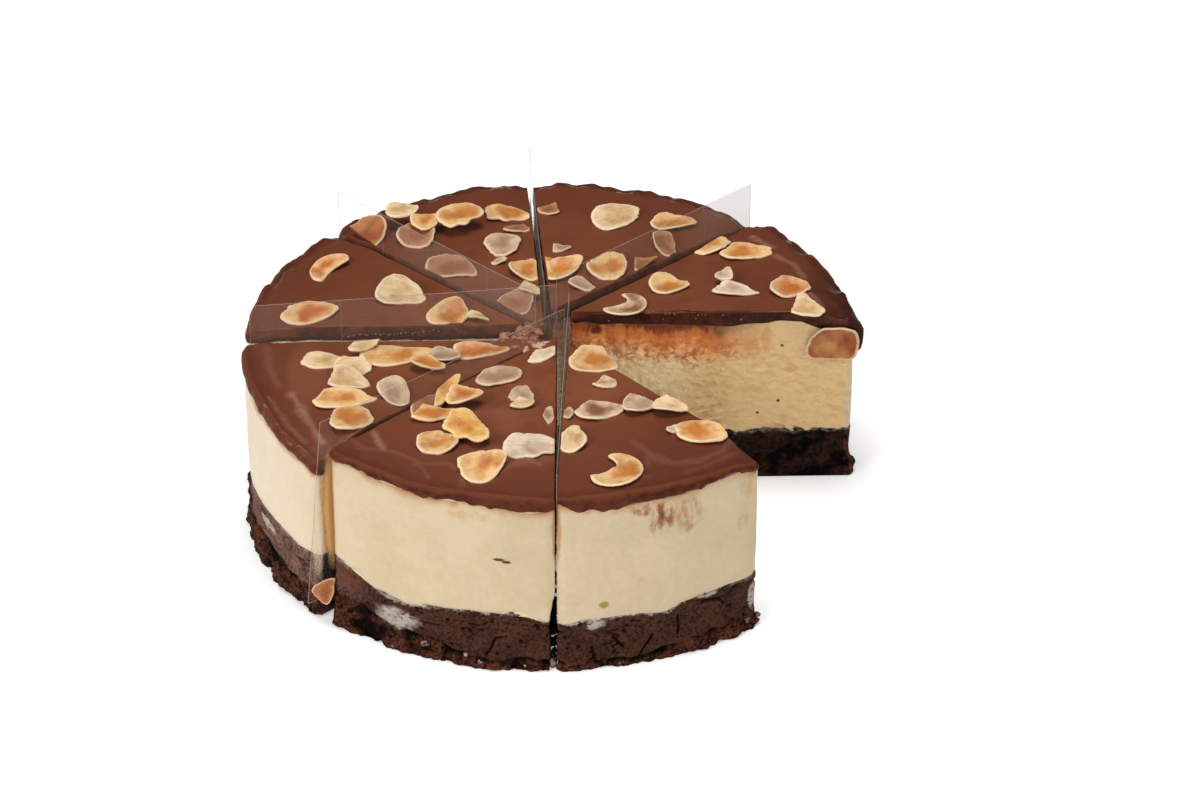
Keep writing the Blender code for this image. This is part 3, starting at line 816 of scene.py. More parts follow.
def brownie_relief(piece, place, part, along, across):
    """A smooth pitted skin above, and crags and crumbs below the ledge where it ends."""
    fine = noise.fractal(place / 0.0014, 0.9, 2.1, 2)
    lumps = noise.fractal(place / 0.0085, 1.0, 2.0, 4) * 2.3
    crumbs = (0.4 - noise.voronoi(place / 0.0034)[0][0]) * 1.2
    crumbly = lumps + crumbs + 0.4 * fine
    if along < 1.0:
        push = (0.35 * crumbly + 0.3 * fine) * smooth_step(0.0, 0.12, along)
        return push * smooth_step(0.0, 0.1, part), 0.35, smooth_step(0.1, -0.7, crumbly)
    level = place.z / MM
    ledge = along_list(LEDGE_MM.get(piece.name, PLAIN_LEDGE_MM), across) / MM
    ledge += 1.6 * noise.noise(place / 0.006)
    skin = smooth_step(ledge - 0.4, ledge + 0.4, level)
    crumbly -= 1.0 * smooth_step(ledge - 3.0, ledge, level) - 0.5
    split = abs(noise.noise(Vector((place.x / 0.012, place.y / 0.012, place.z / 0.0030))))
    split = (1 - smooth_step(0.0, 0.075, split)) * smooth_step(0.0, 0.25, noise.noise(place / 0.014))
    pit = 1 - smooth_step(0.14, 0.34, noise.voronoi(place / 0.0030)[0][0])
    pit *= smooth_step(0.0, 0.2, noise.noise(place / 0.007))
    cut = max(cracked(place), split)
    smooth = 0.5 * noise.fractal(place / 0.012, 1.0, 2.0, 2) + 0.12 * fine - 1.0 * cut - 0.7 * pit
    push = smooth * skin + crumbly * (1 - skin)
    deep = max(cut, 0.9 * pit) * skin + smooth_step(0.3, -1.2, crumbly) * (1 - skin)
    return push, skin, deep


def ground(piece, along, across):
    return 0.0


# How many parts each cut, the rim and the height of a layer are divided in
BROWNIE_STEPS = (130, 200, 44)
CREAM_STEPS = (90, 120, 42)
OPEN_CREAM_STEPS = (190, 120, 84)


def add_brownie(piece, finishes):
    bm = layer_wall(piece, ground, base_height, BROWNIE_STEPS, brownie_side, brownie_relief)
    add_piece("brownie_" + piece.name, bm, finishes, ["base_" + piece.name])


# Cream

def cream_side(part):
    return 0.2 * math.sin(math.pi * part) * MM


def cream_relief(piece, place, part, along, across):
    """Smooth on the rim, and finely wrinkled on the cuts below a band where the knife dragged the icing down.
    """
    soft = noise.fractal(place / 0.02, 1.0, 2.0, 3) * 0.25
    if along == 1.0:
        dents = 1 - smooth_step(0.05, 0.14, noise.voronoi(place / 0.019)[0][0])
        scratch = 0.06 * noise.noise(Vector((place.x / 0.012, place.y / 0.012, place.z / 0.0015)))
        return soft - 0.4 * dents + scratch, 1.0, 0.0
    sway = 0.0014 * noise.noise(place / 0.008) + 0.3 * (place.x - AXIS_X)
    stretched = Vector((place.x / 0.0046, place.y / 0.0046, (place.z + sway) / 0.0023))
    folds = 0.35 + noise.noise(stretched) * 0.7 + noise.noise(stretched * 2.1) * 0.4
    rough = smooth_step(0.1, 0.4, 1 - part) * (0.6 + 0.6 * smooth_step(-0.3, 0.3, noise.noise(place / 0.013)))
    folds = (0.3 - folds) * rough * (1.6 if near_cut(piece, across) else 0.5)
    return (soft + folds) * smooth_step(0.0, 0.06, along), 0.0, smooth_step(0.1, -0.6, folds)


def add_cream(piece, finishes):
    steps = OPEN_CREAM_STEPS if piece.name in OPEN_CUTS else CREAM_STEPS
    bm = layer_wall(piece, base_height, cream_height, steps, cream_side, cream_relief)
    add_piece("filling_" + piece.name, bm, finishes, ["cream_" + piece.name])


# Icing

ICING_ROWS = 124
ICING_COLUMNS = 104
# The icing's edge from its top down: part of its height, and how far it stands out on the rim
ICING_EDGE = (
    (0.0, -1.3), (0.04, -0.6), (0.12, 0.0), (0.26, 0.45), (0.42, 0.65),
    (0.58, 0.7), (0.72, 0.6), (0.84, 0.4), (0.93, 0.1), (1.0, -0.6),
)

# How deeply the icing's upper edge is rounded at a cut, beside the missing slice and elsewhere
OPEN_CUT_ROUND = 1.1 * MM
CUT_ROUND = 0.35 * MM
# How far the icing's cuts bulge out and wave
CUT_BULGE = 0.25 * MM
CUT_WAVES = 0.3 * MM

# Ridges that the spatula left, as lines in plan, with a width, a height and how strongly a highlight is
# painted on them
Ridge = namedtuple("Ridge", "line_mm width_mm height_mm sheen")
# Further than this from its first point, a ridge isn't looked for
RIDGE_REACH_MM = 45

RIDGES = [Ridge(*row) for row in (
    (((-90.5, -42), (-87, -52), (-83.5, -60), (-79.5, -69)), 3.6, 0.4, 0.36),
    (((-100.5, -43), (-96.5, -52), (-91.5, -61.5), (-86, -70)), 2.6, 0.1, 0.26),
    (((-61, -69), (-59.5, -74), (-57.7, -79)), 3.2, 0.45, 0.42),
    (((-69, -72), (-64.9, -79.2), (-53.5, -80.7), (-45.5, -87.2), (-42, -97)), 2.6, 0.35, 0.12),
    (((-46, -89), (-36, -88), (-30.5, -93), (-30, -104)), 2.6, 0.4, 0.14),
    (((-26, -88), (-17, -93), (-8, -86), (-3, -90)), 3.4, 0.45, 0.14),
    (((34, -84), (42, -89), (51, -88), (60, -80), (63.5, -72)), 4, 0.55, 0.12),
    (((47, -96), (55, -90), (65, -80)), 2.8, 0.35, 0.1),
    (((16, -96.5), (24, -100), (33, -98)), 2.8, 0.35, 0.1),
    (((29, -76), (34, -83), (33, -91)), 3, 0.3, 0.1),
    (((88, 33), (95, 26), (99.5, 16.5)), 3, 0.6, 0.34),
    (((84, 52), (90, 46.5), (93.5, 38)), 3.4, 0.5, 0.3),
    (((76, 66), (82, 58)), 3, 0.45, 0.36),
    (((-101, -10), (-99.5, -24), (-96, -36)), 3.6, 0.4, 0.12),
)]


def ridged(place):
    """How high the ridges are at a place, in millimetres, and how strongly a highlight is painted there, from
    0 to 1.
    """
    spot = Vector(((place.x - AXIS_X) / MM, (place.y - AXIS_Y) / MM))
    height, sheen = 0.0, 0.0
    for ridge in RIDGES:
        start_x, start_y = ridge.line_mm[0]
        if max(abs(spot.x - start_x), abs(spot.y - start_y)) > RIDGE_REACH_MM:
            continue
        width = ridge.width_mm * (0.7 + 0.7 * noise.noise(place / 0.007))
        near = 1 - smooth_step(0.0, width, from_line(spot, ridge.line_mm))
        height = max(height, near * ridge.height_mm)
        sheen = max(sheen, near * ridge.sheen)
    return height, sheen


def icing_top_relief(place, along):
    """Soft waves left by the spatula, an uneven ridge before the rim, and dips along the far rim."""
    toward_rim = smooth_step(0.55, 0.9, along)
    waves = noise.noise(place / 0.024) * (0.2 + 0.35 * toward_rim)
    waves += noise.noise(place / 0.010) * (0.05 + 0.16 * toward_rim)
    ridge = smooth_step(0.88, 0.95, along) * (1 - smooth_step(0.955, 1.0, along))
    far = smooth_step(0.0, 0.03, place.y) * smooth_step(0.93, 0.995, along)
    dips = 1.9 * noise.noise(place / 0.0085) + 0.9 * noise.noise(place / 0.0036) - 0.5
    return waves + 0.45 * ridge * (0.6 + 1.2 * noise.noise(place / 0.014)) + far * dips


def rim_wobble(place):
    """How raggedly the icing ends on the rim."""
    return (noise.noise(place / 0.012) * 0.8 + noise.noise(place / 0.004) * 0.35) * MM


def lower_edge(piece, along, across, at_rim, on_rim):
    """The icing's ragged lower edge, with a few short runs on the rim."""
    low = cream_height(piece, along, across)
    inside = Vector((on_rim.x, on_rim.y, along * CAKE_RADIUS))
    ragged = 0.8 * noise.noise(on_rim / 0.0068) + 0.45 * noise.noise(on_rim / 0.0021)
    run = max(0.0, noise.noise(on_rim / 0.0048 + Vector((7, 3, 1))) - 0.2) * 3.4
    within = noise.noise(inside / 0.008) + 0.5 * noise.noise(inside / 0.0026)
    return low + ((ragged - run) * at_rim + 0.55 * within * (1 - at_rim)) * MM


def icing_block(piece):
    """The icing of one slice: its top as a grid, with its edge drawn down all round."""
    bm = bmesh.new()
    bmesh.ops.create_grid(bm, x_segments=ICING_ROWS, y_segments=ICING_COLUMNS, size=0.5)
    edge = [item for item in bm.edges if item.is_boundary]
    foot = draw_up(bm, edge, len(ICING_EDGE) - 1, -1.0)
    below, outward, sheen = new_layers(bm, "below", "outward", "sheen")
    for vert in bm.verts:
        along = vert.co.x + 0.5
        across = vert.co.y + 0.5
        part, stand_out = ICING_EDGE[round(-vert.co.z)]
        at_rim = smooth_step(0.9, 1.0, along)
        rim = rim_point(piece, across, CAKE_RADIUS)
        on_rim = Vector((rim.x, rim.y, 0.03))
        low = lower_edge(piece, along, across, at_rim, on_rim)
        top = icing_height(piece, along, across)
        place = in_slice(piece, along, across, 0.0, top)
        bump, shine = ridged(place)
        top += (icing_top_relief(place, along) + bump) * MM
        reach = stand_out * MM * at_rim + overhang(piece, across) * smooth_step(0.0, 0.4, part) * at_rim
        reach += rim_wobble(on_rim) * at_rim
        height = top + (low - top) * part
        vert.co = in_slice(piece, along, across, reach, height)
        if across in (0.0, 1.0) and 0.0 < along < 1.0:
            side = cut_normal(piece, across)
            round_off = OPEN_CUT_ROUND if OPEN_CUTS.get(piece.name) == across else CUT_ROUND
            fall = max(0.0, 1 - part / 0.4)
            inward = round_off * (1 - math.sqrt(1 - fall * fall)) - CUT_BULGE
            inward += CUT_WAVES * noise.noise(vert.co / 0.005)
            vert.co -= Vector((side.x, side.y, 0)) * inward
        vert[below] = part
        vert[outward] = along
        vert[sheen] = shine if part < 0.1 else 0.0
    bmesh.ops.holes_fill(bm, edges=foot, sides=0)
    bmesh.ops.recalc_face_normals(bm, faces=bm.faces)
    return bm


def overhang(piece, across):
    return piece.overhang_mm * MM * (1 - smooth_step(0.0, OVERHANG_REACH, across))


def add_icing(piece, finishes):
    """The icing, and the surface that its flakes lie on."""
    bm = icing_block(piece)
    surface = BVHTree.FromBMesh(bm)
    below = bm.verts.layers.float["below"]
    for face in bm.faces:
        depths = [vert[below] for vert in face.verts]
        if is_rim(piece, face.calc_center_median()):
            face.material_index = 2 if max(depths) > 0.02 or face.normal.z < 0.88 else 0
        else:
            face.material_index = 1 if min(depths) > 0.1 or abs(face.normal.z) < 0.6 else 0
    add_piece("topping_" + piece.name, bm, finishes, ["icing_" + piece.name])
    return surface


# Rows of small bubbles in the icing, each from one place to another at a height, all in millimetres
BUBBLE_ROWS_MM = (
    ((-74, 2), (-46, 3.3), 68.2, 22),
    ((-46, 3.3), (-30, 4), 69.2, 7),
    ((30, 12.3), (54, 12.6), 70.8, 16),
    ((54, 12.6), (66, 12.8), 69.6, 8),
    ((20, 12.2), (80, 12.7), 68, 5),
)


def add_bubbles(finish):
    """Small glossy bubbles along the upper edges of the icing's cuts."""
    draw = random.Random(3)
    bm = bmesh.new()
    for start, end, height, count in BUBBLE_ROWS_MM:
        for step in range(count):
            part = (step + draw.uniform(-0.4, 0.4)) / count
            flat = plan(Vector(start).lerp(Vector(end), part))
            size = draw.uniform(0.35, 1.0) * MM
            place = Vector((flat.x, flat.y - 0.1 * MM, (height + draw.uniform(-0.5, 0.5)) * MM))
            made = bmesh.new()
            bmesh.ops.create_icosphere(made, subdivisions=2, radius=size / 2)
            bmesh.ops.translate(made, verts=made.verts, vec=place)
            join(bm, made)
    add_piece("bubbles", bm, [finish])


# Almond flakes

# What each tone of flake looks like at its rim and in its middle
ALMOND_TONES = {
    "pale": ((238, 210, 166), (214, 176, 122)),
    "golden": ((240, 198, 138), (204, 126, 54)),
    "orange": ((238, 192, 136), (204, 108, 42)),
    "brown": ((198, 126, 66), (146, 68, 20)),
    "amber": ((146, 66, 22), (206, 144, 84)),
    "tan": ((184, 132, 96), (146, 92, 60)),
    "grey": ((216, 186, 154), (170, 138, 110)),
    "yellow": ((240, 200, 122), (212, 140, 48)),
    "white": ((238, 216, 188), (212, 186, 156)),
    "veiled": ((234, 206, 166), (140, 92, 66)),
}

# A flake: its place in plan, length and width in millimetres, its heading, how far it tips to the front,
# its tone and its form
Flake = namedtuple("Flake", "x y length width heading tip tone form")

FLAKES_MM = {
    "right": (
        (44, 31, 15, 11, -5, 4, "golden", "whole"),
        (25.8, 18, 24, 7.5, 55, 3, "veiled", "hooked"),
        (68, 26.5, 18, 7, -12, 2, "white", "long"),
        (64, 34, 11, 6, 80, 2, "white", "broken"),
        (60, 60, 17, 11, 20, 4, "golden", "whole"),
        (73, 54, 21, 10, 3, 4, "golden", "long"),
        (88, 28, 15, 12, -8, 6, "orange", "whole"),
        (92, 15.5, 17, 12, -20, 9, "pale", "broken"),
    ),
    "back_right": (
        (0.5, 89, 10, 9, -60, 6, "tan", "broken"),
        (26, 81, 20, 13, 25, 12, "pale", "whole"),
        (46, 76, 18, 10, -3, 4, "golden", "whole"),
        (43, 59.5, 16, 8, -70, 8, "tan", "whole"),
        (4, 59, 9, 5, 0, 3, "grey", "broken"),
        (1, 47, 10, 8, 30, 6, "yellow", "broken"),
        (5, 42, 19, 10, 40, 10, "golden", "whole"),
        (22, 44, 17, 13, 60, 12, "golden", "whole"),
        (34, 47, 12, 8, 20, 4, "tan", "broken"),
        (12, 31, 12, 6, -35, 4, "grey", "long"),
    ),
    "back_left": (
        (-68.5, 68, 20, 14, 50, 20, "brown", "round"),
        (-49, 69, 19, 13, 80, 12, "tan", "whole"),
        (-46, 73, 12, 9, 30, 8, "golden", "whole"),
        (-55, 78, 13, 9, 15, 6, "pale", "round"),
        (-33, 75, 18, 13, 15, 12, "golden", "chipped"),
        (-16, 84, 18, 10, -10, 6, "golden", "chipped"),
        (-12, 74, 12, 7, -5, 3, "tan", "broken"),
        (-17, 60.5, 15, 12, 35, 10, "grey", "round"),
        (-19, 49, 7, 4, 0, 3, "white", "broken"),
        (-36, 44, 21, 13, -25, 8, "tan", "whole"),
        (-8, 41, 15, 9, -50, 10, "golden", "whole"),
        (-12, 18, 16, 13, 60, 12, "tan", "round"),
        (-8, 25, 13, 6, -35, 6, "pale", "broken"),
    ),
    "left_back": (
        (-74.6, 39.6, 22, 8, -125, 6, "orange", "curved"),
        (-87, 12.5, 21, 13, 14, 8, "orange", "round"),
        (-54, 25, 19, 14, -20, 12, "pale", "whole"),
        (-35.5, 9.5, 15, 14, -50, 12, "golden", "whole"),
        (-26, 6.8, 9, 3, -25, 3, "pale", "long"),
    ),
    "left_front": (
        (-80, -21, 18, 9, -6, 3, "pale", "whole"),
        (-25, -15, 22, 8, 8, 8, "orange", "long"),
        (-54, -18, 28, 11, 10, 4, "golden", "whole"),
        (-66, -16, 12, 4, 20, 20, "pale", "long"),
        (-38, -20, 13, 8, -5, 4, "grey", "whole"),
        (-43, -27, 13, 7, -25, 6, "golden", "whole"),
        (-70, -27, 14, 12, 0, 14, "pale", "chipped"),
        (-71, -35, 16, 10, -20, 12, "pale", "whole"),
        (-54, -45, 17, 9, -65, 8, "grey", "whole"),
        (-69, -60, 16, 13, 0, 6, "golden", "whole"),
        (-72, -47, 23, 10, 3, 8, "golden", "long"),
    ),
    "front": (
        (-42, -52, 16, 8, 50, 8, "tan", "whole"),
        (-41, -58, 19, 9, -8, 8, "golden", "broken"),
        (-37, -48, 17, 6, 52, 22, "yellow", "broken"),
        (-30, -51, 14, 9, 15, 5, "golden", "whole"),
        (-18, -33, 18, 11, 22, 4, "grey", "round"),
        (-10, -46, 10, 9, -60, 12, "grey", "chipped"),
        (-10, -51, 10, 6, -10, 12, "pale", "broken"),
        (-1, -59, 10, 5, 80, 4, "grey", "broken"),
        (-3.2, -17.4, 16, 8, 24, 3, "white", "broken"),
        (-39, -77, 15, 12, 10, 10, "golden", "round"),
        (-29, -71.5, 20, 13, -44, 12, "yellow", "chipped"),
        (-23, -91.5, 19, 13, 35, 14, "golden", "whole"),
        (-6, -80, 21, 13, -3, 10, "white", "chipped"),
    ),
    "front_right": (
        (16, -23, 18, 13, -30, 10, "golden", "whole"),
        (19, -37, 10, 8, -20, 4, "veiled", "broken"),
        (17, -56, 18, 10, 10, 5, "veiled", "whole"),
        (5, -58, 9, 6, 70, 4, "grey", "broken"),
        (31, -54, 12, 9, 0, 5, "grey", "whole"),
        (42, -56, 13, 8, -12, 5, "pale", "whole"),
        (43, -69, 6, 5, 0, 3, "white", "round"),
        (52, -71.5, 19, 12, -15, 8, "golden", "round"),
        (7.6, -75, 15, 10, 80, 8, "pale", "round"),
        (20.2, -93.5, 27, 9.5, 66, 5, "golden", "hooked"),
    ),
}

FLAKE_THICKNESS = 0.0010
FLAKE_LIP = 0.25 * MM
FLAKE_SIDES = 48
# How far each ring of a flake stands in from the one before, as a share of its half width
FLAKE_INSETS = (0.05, 0.08, 0.12, 0.15, 0.18, 0.2)
FLAKE_SUNK = 0.00035
# Well above the icing, from where each flake is lowered
START_HEIGHT_MM = 200.0


def flake_outline(flake, angle, seed, chords):
    """How far out the outline of a flake is at an angle, as a share of its plain oval."""
    spot = Vector((math.cos(angle) * 0.9, math.sin(angle) * 0.9, seed))
    reach = 1 + 0.08 * noise.noise(spot) + 0.045 * noise.noise(spot * 3) + 0.025 * noise.noise(spot * 8)
    if flake.form == "chipped":
        reach *= 1 - 0.3 * bite(angle, -60, 16) - 0.2 * bite(angle, -105, 12)
    if flake.form == "slab":
        reach *= (math.cos(angle) ** 4 + math.sin(angle) ** 4) ** -0.2
    for turn, limit in chords:
        edge = math.cos(angle - turn)
        limit *= 1 + 0.08 * noise.noise(spot * 7)
        if edge * reach > limit:
            reach = limit / edge
    return reach


def chords_of(flake, draw):
    """Straight breaks in the outline: shallow ones anywhere, and a deep one where the flake is broken."""
    chords = [(draw.uniform(0, math.tau), draw.uniform(0.82, 0.95)) for _ in range(3)]
    if flake.form == "broken":
        chords.append((draw.uniform(2.0, 3.4), draw.uniform(0.4, 0.6)))
        chords.append((draw.uniform(0.6, 1.6), draw.uniform(0.6, 0.75)))
    return chords


def bite(angle, middle, spread):
    """1 at the middle of a bite out of the outline, falling to 0 over its spread."""
    apart = (math.degrees(angle) - middle + 180) % 360 - 180
    return math.exp(-(apart / spread) ** 2)


# How much each form narrows towards its end
FORM_TAPER = {
    "whole": 0.42, "round": 0.16, "long": 0.5, "broken": 0.3,
    "hooked": 0.3, "curved": 0.25, "chipped": 0.25, "slab": 0.0,
}
# How far round a bent flake runs, in degrees
FORM_BEND = {"hooked": 235.0, "curved": 125.0}


def bent(flake, x, y):
    """A point of a flake, bent round in its own plane where its form says so; the bend opens towards +Y."""
    if flake.form not in FORM_BEND:
        return x, y
    radius = flake.length * MM / math.radians(FORM_BEND[flake.form])
    turn = x / radius
    return (radius - y) * math.sin(turn), (y - radius) * math.cos(turn)


def thicken(bm, vec):
    """Gives a sheet a second side, moved by vec."""
    drawn = bmesh.ops.extrude_face_region(bm, geom=list(bm.faces))["geom"]
    bmesh.ops.translate(bm, verts=only(bmesh.types.BMVert, drawn), vec=vec)


def flake_mesh(flake, draw):
    """A flake as a thin plate, in its own place: rings drawn inwards, given a thickness and bent a little."""
    bm = bmesh.new()
    bmesh.ops.create_circle(bm, cap_ends=True, segments=FLAKE_SIDES, radius=1.0)
    middle = list(bm.faces)
    for inset in FLAKE_INSETS:
        bmesh.ops.inset_region(bm, faces=middle, thickness=inset, use_boundary=True, use_even_offset=True)
    bmesh.ops.poke(bm, faces=middle)
    thicken(bm, (0, 0, 1))
    uv = bm.loops.layers.uv.new("UVMap")
    for face in bm.faces:
        for loop in face.loops:
            loop[uv].uv = (0.5 + 0.5 * loop.vert.co.x, 0.5 + 0.5 * loop.vert.co.y)
    seed = draw.uniform(0, 50)
    curl = draw.uniform(-0.5, 1.6) * MM
    cup = draw.uniform(0.2, 2.0) * MM * min(1.0, flake.width / 11)
    twist = draw.uniform(-1.1, 1.1) * MM
    fold = draw.uniform(-0.6, 0.6) * MM
    taper = FORM_TAPER[flake.form] * draw.uniform(0.7, 1.1)
    chords = [] if flake.form in FORM_BEND else chords_of(flake, draw)
    rim = bm.verts.layers.float_color.new("rim")
    heart = bm.verts.layers.float_color.new("heart")
    shade = draw.uniform(0.86, 1.04)
    tones = [Vector([value * shade for value in srgb(tone)[:3]] + [1.0]) for tone in ALMOND_TONES[flake.tone]]
    for vert in bm.verts:
        out = math.hypot(vert.co.x, vert.co.y)
        angle = math.atan2(vert.co.y, vert.co.x)
        edge = flake_outline(flake, angle, seed, chords)
        x = out * math.cos(angle) * edge
        y = out * math.sin(angle) * edge * (1 - taper * out * math.cos(angle)) / (1 - 0.25 * taper)
        thick = FLAKE_THICKNESS * (0.35 + 0.65 * (1 - out ** 6))
        thick += FLAKE_LIP * smooth_step(0.7, 0.9, out) * (1 - smooth_step(0.95, 1.0, out))
        bend = curl * x * x + cup * y * y + twist * x * y + fold * math.sin(3 * x + seed)
        ripple = 0.3 * MM * noise.noise(Vector((x * 2.2, y * 2.2, seed)))
        flat_x, flat_y = bent(flake, x * flake.length * MM / 2, y * flake.width * MM / 2)
        vert.co = (flat_x, flat_y, (thick if vert.co.z > 0.5 else 0.0) + bend + ripple)
        vert[rim], vert[heart] = tones
    bmesh.ops.recalc_face_normals(bm, faces=bm.faces)
    return bm


def highest_hit(surfaces, x, y):
    """The highest point of the surfaces straight above or below a place in plan."""
    above = Vector((x, y, START_HEIGHT_MM * MM))
    hits = [surface.ray_cast(above, Vector((0, 0, -1)))[0] for surface in surfaces]
    heights = [hit.z for hit in hits if hit is not None]
    return max(heights) if heights else None


def settle(bm, surfaces):
    """Lowers or raises a flake until its lowest part is pressed a little into what it lies on."""
    under = [(vert.co.z, highest_hit(surfaces, vert.co.x, vert.co.y)) for vert in bm.verts]
    drop = min(height - hit for height, hit in under if hit is not None) + FLAKE_SUNK
    bmesh.ops.translate(bm, verts=bm.verts, vec=(0, 0, -drop))


def trim_to_slice(bm, piece):
    """Cuts a flake off where the knife went, beside each cut that holds a divider."""
    tip = plan(piece.tip_mm) + lean(piece, ICING_TOP)
    for across in (0.0, 1.0):
        if OPEN_CUTS.get(piece.name) == across:
            continue
        side = cut_normal(piece, across)
        whole = bm.verts[:] + bm.edges[:] + bm.faces[:]
        cut = bmesh.ops.bisect_plane(
            bm, geom=whole, plane_co=(tip.x, tip.y, 0), plane_no=(side.x, side.y, 0), clear_outer=True
        )
        loop = only(bmesh.types.BMEdge, cut["geom_cut"])
        if loop:
            bmesh.ops.holes_fill(bm, edges=loop, sides=0)


def join(bm, other):
    """Adds another bmesh to this one, with its layers."""
    mesh = bpy.data.meshes.new("joined")
    other.to_mesh(mesh)
    other.free()
    bm.from_mesh(mesh)
    bpy.data.meshes.remove(mesh)


def turned(angle, axis):
    return Matrix.Rotation(math.radians(angle), 4, axis)


def put(bm, place_mm, turn):
    """Moves a turned bmesh to a place in plan and a height, in millimetres."""
    spot = plan(place_mm)
    place = Matrix.Translation((spot.x, spot.y, place_mm[2] * MM))
    bmesh.ops.transform(bm, verts=bm.verts, matrix=place @ turn)


# Flakes that don't lie on the icing: the one that sticks out of its lower edge, down the right slice's
# cut, and the one caught at a divider's foot, between the two front slices on the left. Each has its
# place, and how far it is turned flat, stood up and swung round
STUCK_FLAKES = {
    "right": (Flake(0, 0, 20, 13, 0, 0, "amber", "slab"), (102.3, 12.3, 57.6), (0, 81, 0)),
    "left_front": (Flake(0, 0, 11, 6.5, 0, 0, "brown", "whole"), (-79.0, -79.8, 13.4), (56, 78, -22)),
}


def add_flakes(piece, surface, finish):
    """All almond flakes of a slice, laid one after another, so that later ones lie on earlier ones."""
    draw = random.Random("almonds " + piece.name)
    surfaces = [surface]
    flakes = bmesh.new()
    for row in FLAKES_MM[piece.name]:
        flake = Flake(*row)
        bm = flake_mesh(flake, draw)
        put(bm, (flake.x, flake.y, START_HEIGHT_MM), turned(flake.tip, "X") @ turned(flake.heading, "Z"))
        trim_to_slice(bm, piece)
        settle(bm, surfaces)
        surfaces.append(BVHTree.FromBMesh(bm))
        join(flakes, bm)
    if piece.name in STUCK_FLAKES:
        flake, place_mm, (flat, up, round_about) = STUCK_FLAKES[piece.name]
        bm = flake_mesh(flake, draw)
        put(bm, place_mm, turned(round_about, "Z") @ turned(up, "X") @ turned(flat, "Z"))
        join(flakes, bm)
    add_piece("almonds_" + piece.name, flakes, [finish])


# Dividers

FILM_THICKNESS = 0.00018
FILM_EDGE = 0.0003
FILM_CREASE = 0.0001
FILM_COLUMNS = 12


def film_columns(length, creases):
    """Where the film's columns of points stand, from 0 to 1: its edges and creases are narrow strips."""
    edge = FILM_EDGE / length
    places = [0.0, edge, 1 - edge, 1.0]
    for crease in creases:
        places += [crease - FILM_CREASE / length, crease, crease + FILM_CREASE / length]
    places += [step / FILM_COLUMNS for step in range(1, FILM_COLUMNS)]
    return sorted(places)


def add_film(divider, finish):
    """A clear sheet that stands in a cut, with pale lines along its edges and creases."""
    inner = plan(divider.inner_mm)
    outer = plan(divider.outer_mm)
    length = (outer - inner).length
    run = (outer - inner) / length
    side = Vector((-run.y, run.x))
    foot_in, foot_out, top_out, top_in = [height * MM for height in divider.heights_mm]
    columns = film_columns(length, divider.creases)
    edge_up = FILM_EDGE / top_in
    rows = [0.0, edge_up, 0.25, 0.5, 0.75, 1 - edge_up, 1.0]
    bm = bmesh.new()
    bmesh.ops.create_grid(bm, x_segments=len(columns) - 1, y_segments=len(rows) - 1, size=0.5)
    line, smeared, veil = new_layers(bm, "line", "smeared", "veil")
    for vert in bm.verts:
        along = columns[round((vert.co.x + 0.5) * (len(columns) - 1))]
        up = rows[round((vert.co.y + 0.5) * (len(rows) - 1))]
        foot = foot_in + (foot_out - foot_in) * along
        top = top_in + (top_out - top_in) * along
        reach = length * along + divider.reach_mm * MM * along * (1 - up)
        bow = divider.bow_mm * MM * math.sin(math.pi * along) * up
        spot = inner + run * reach + side * (bow - FILM_THICKNESS / 2)
        vert.co = (spot.x, spot.y, foot + (top - foot) * up)
        vert[line] = 1.0 if along in (0.0, 1.0, *divider.creases) or up in (0.0, 1.0) else 0.0
        vert[smeared] = divider.smeared
        vert[veil] = divider.veil[0] + (divider.veil[1] - divider.veil[0]) * smooth_step(0.55, 0.85, along)
    thicken(bm, (side.x * FILM_THICKNESS, side.y * FILM_THICKNESS, 0))
    bmesh.ops.recalc_face_normals(bm, faces=bm.faces)
    film = add_piece("film_" + divider.name, bm, [finish], ["divider_" + divider.name])
    film.visible_shadow = False


# Crumbs

def add_crumb(bm, place, size, draw):
    """One crumb: a small ball pushed out of shape."""
    made = bmesh.new()
    bmesh.ops.create_icosphere(made, subdivisions=2, radius=size / 2)
    seed = Vector((draw.uniform(0, 90), 0, 0))
    squash = Vector((draw.uniform(0.7, 1.3), draw.uniform(0.7, 1.3), draw.uniform(0.5, 0.95)))
    for vert in made.verts:
        spot = vert.co / size
        push = 1 + 0.7 * noise.noise(spot * 2.2 + seed) + 0.3 * noise.noise(spot * 6 + seed)
        vert.co = vert.co * squash * push + place
        vert.co.z = max(vert.co.z, 0.0)
    join(bm, made)


CRUMBS_A_SLICE = 7
CRUMBS_IN_SLIT = 110
BALL_CRUMB_MM = (72.4, -82.8, 3.6)
BALL_CRUMB_SIZE = 2.4 * MM


def add_base_crumbs(finish):
    """Crumbs that cling to the foot of the brownie, and some that fell into the front slit."""
    draw = random.Random(5)
    bm = bmesh.new()
    for piece in SLICES:
        for _ in range(CRUMBS_A_SLICE):
            across = draw.uniform(0.04, 0.96)
            size = draw.uniform(1.2, 2.6) * MM
            height = size * 0.35 + draw.uniform(0, 1) ** 2 * 6 * MM
            spot = in_slice(piece, 1.0, across, draw.uniform(0.2, 0.9) * MM, height)
            add_crumb(bm, spot, size, draw)
    front = [piece for piece in SLICES if piece.name == "front"][0]
    for _ in range(CRUMBS_IN_SLIT):
        size = draw.uniform(1.3, 2.2) * MM
        inward = 0.55 * draw.uniform(0.0, 1.0) ** 2
        spot = in_slice(front, 0.99 - inward, draw.uniform(0.982, 1.0), 0.0, draw.uniform(0.2, 2.6) * MM)
        add_crumb(bm, spot, size, draw)
    x, y = plan(BALL_CRUMB_MM)
    add_crumb(bm, Vector((x, y, BALL_CRUMB_MM[2] * MM)), BALL_CRUMB_SIZE, draw)
    add_piece("foot_crumbs", bm, [finish])


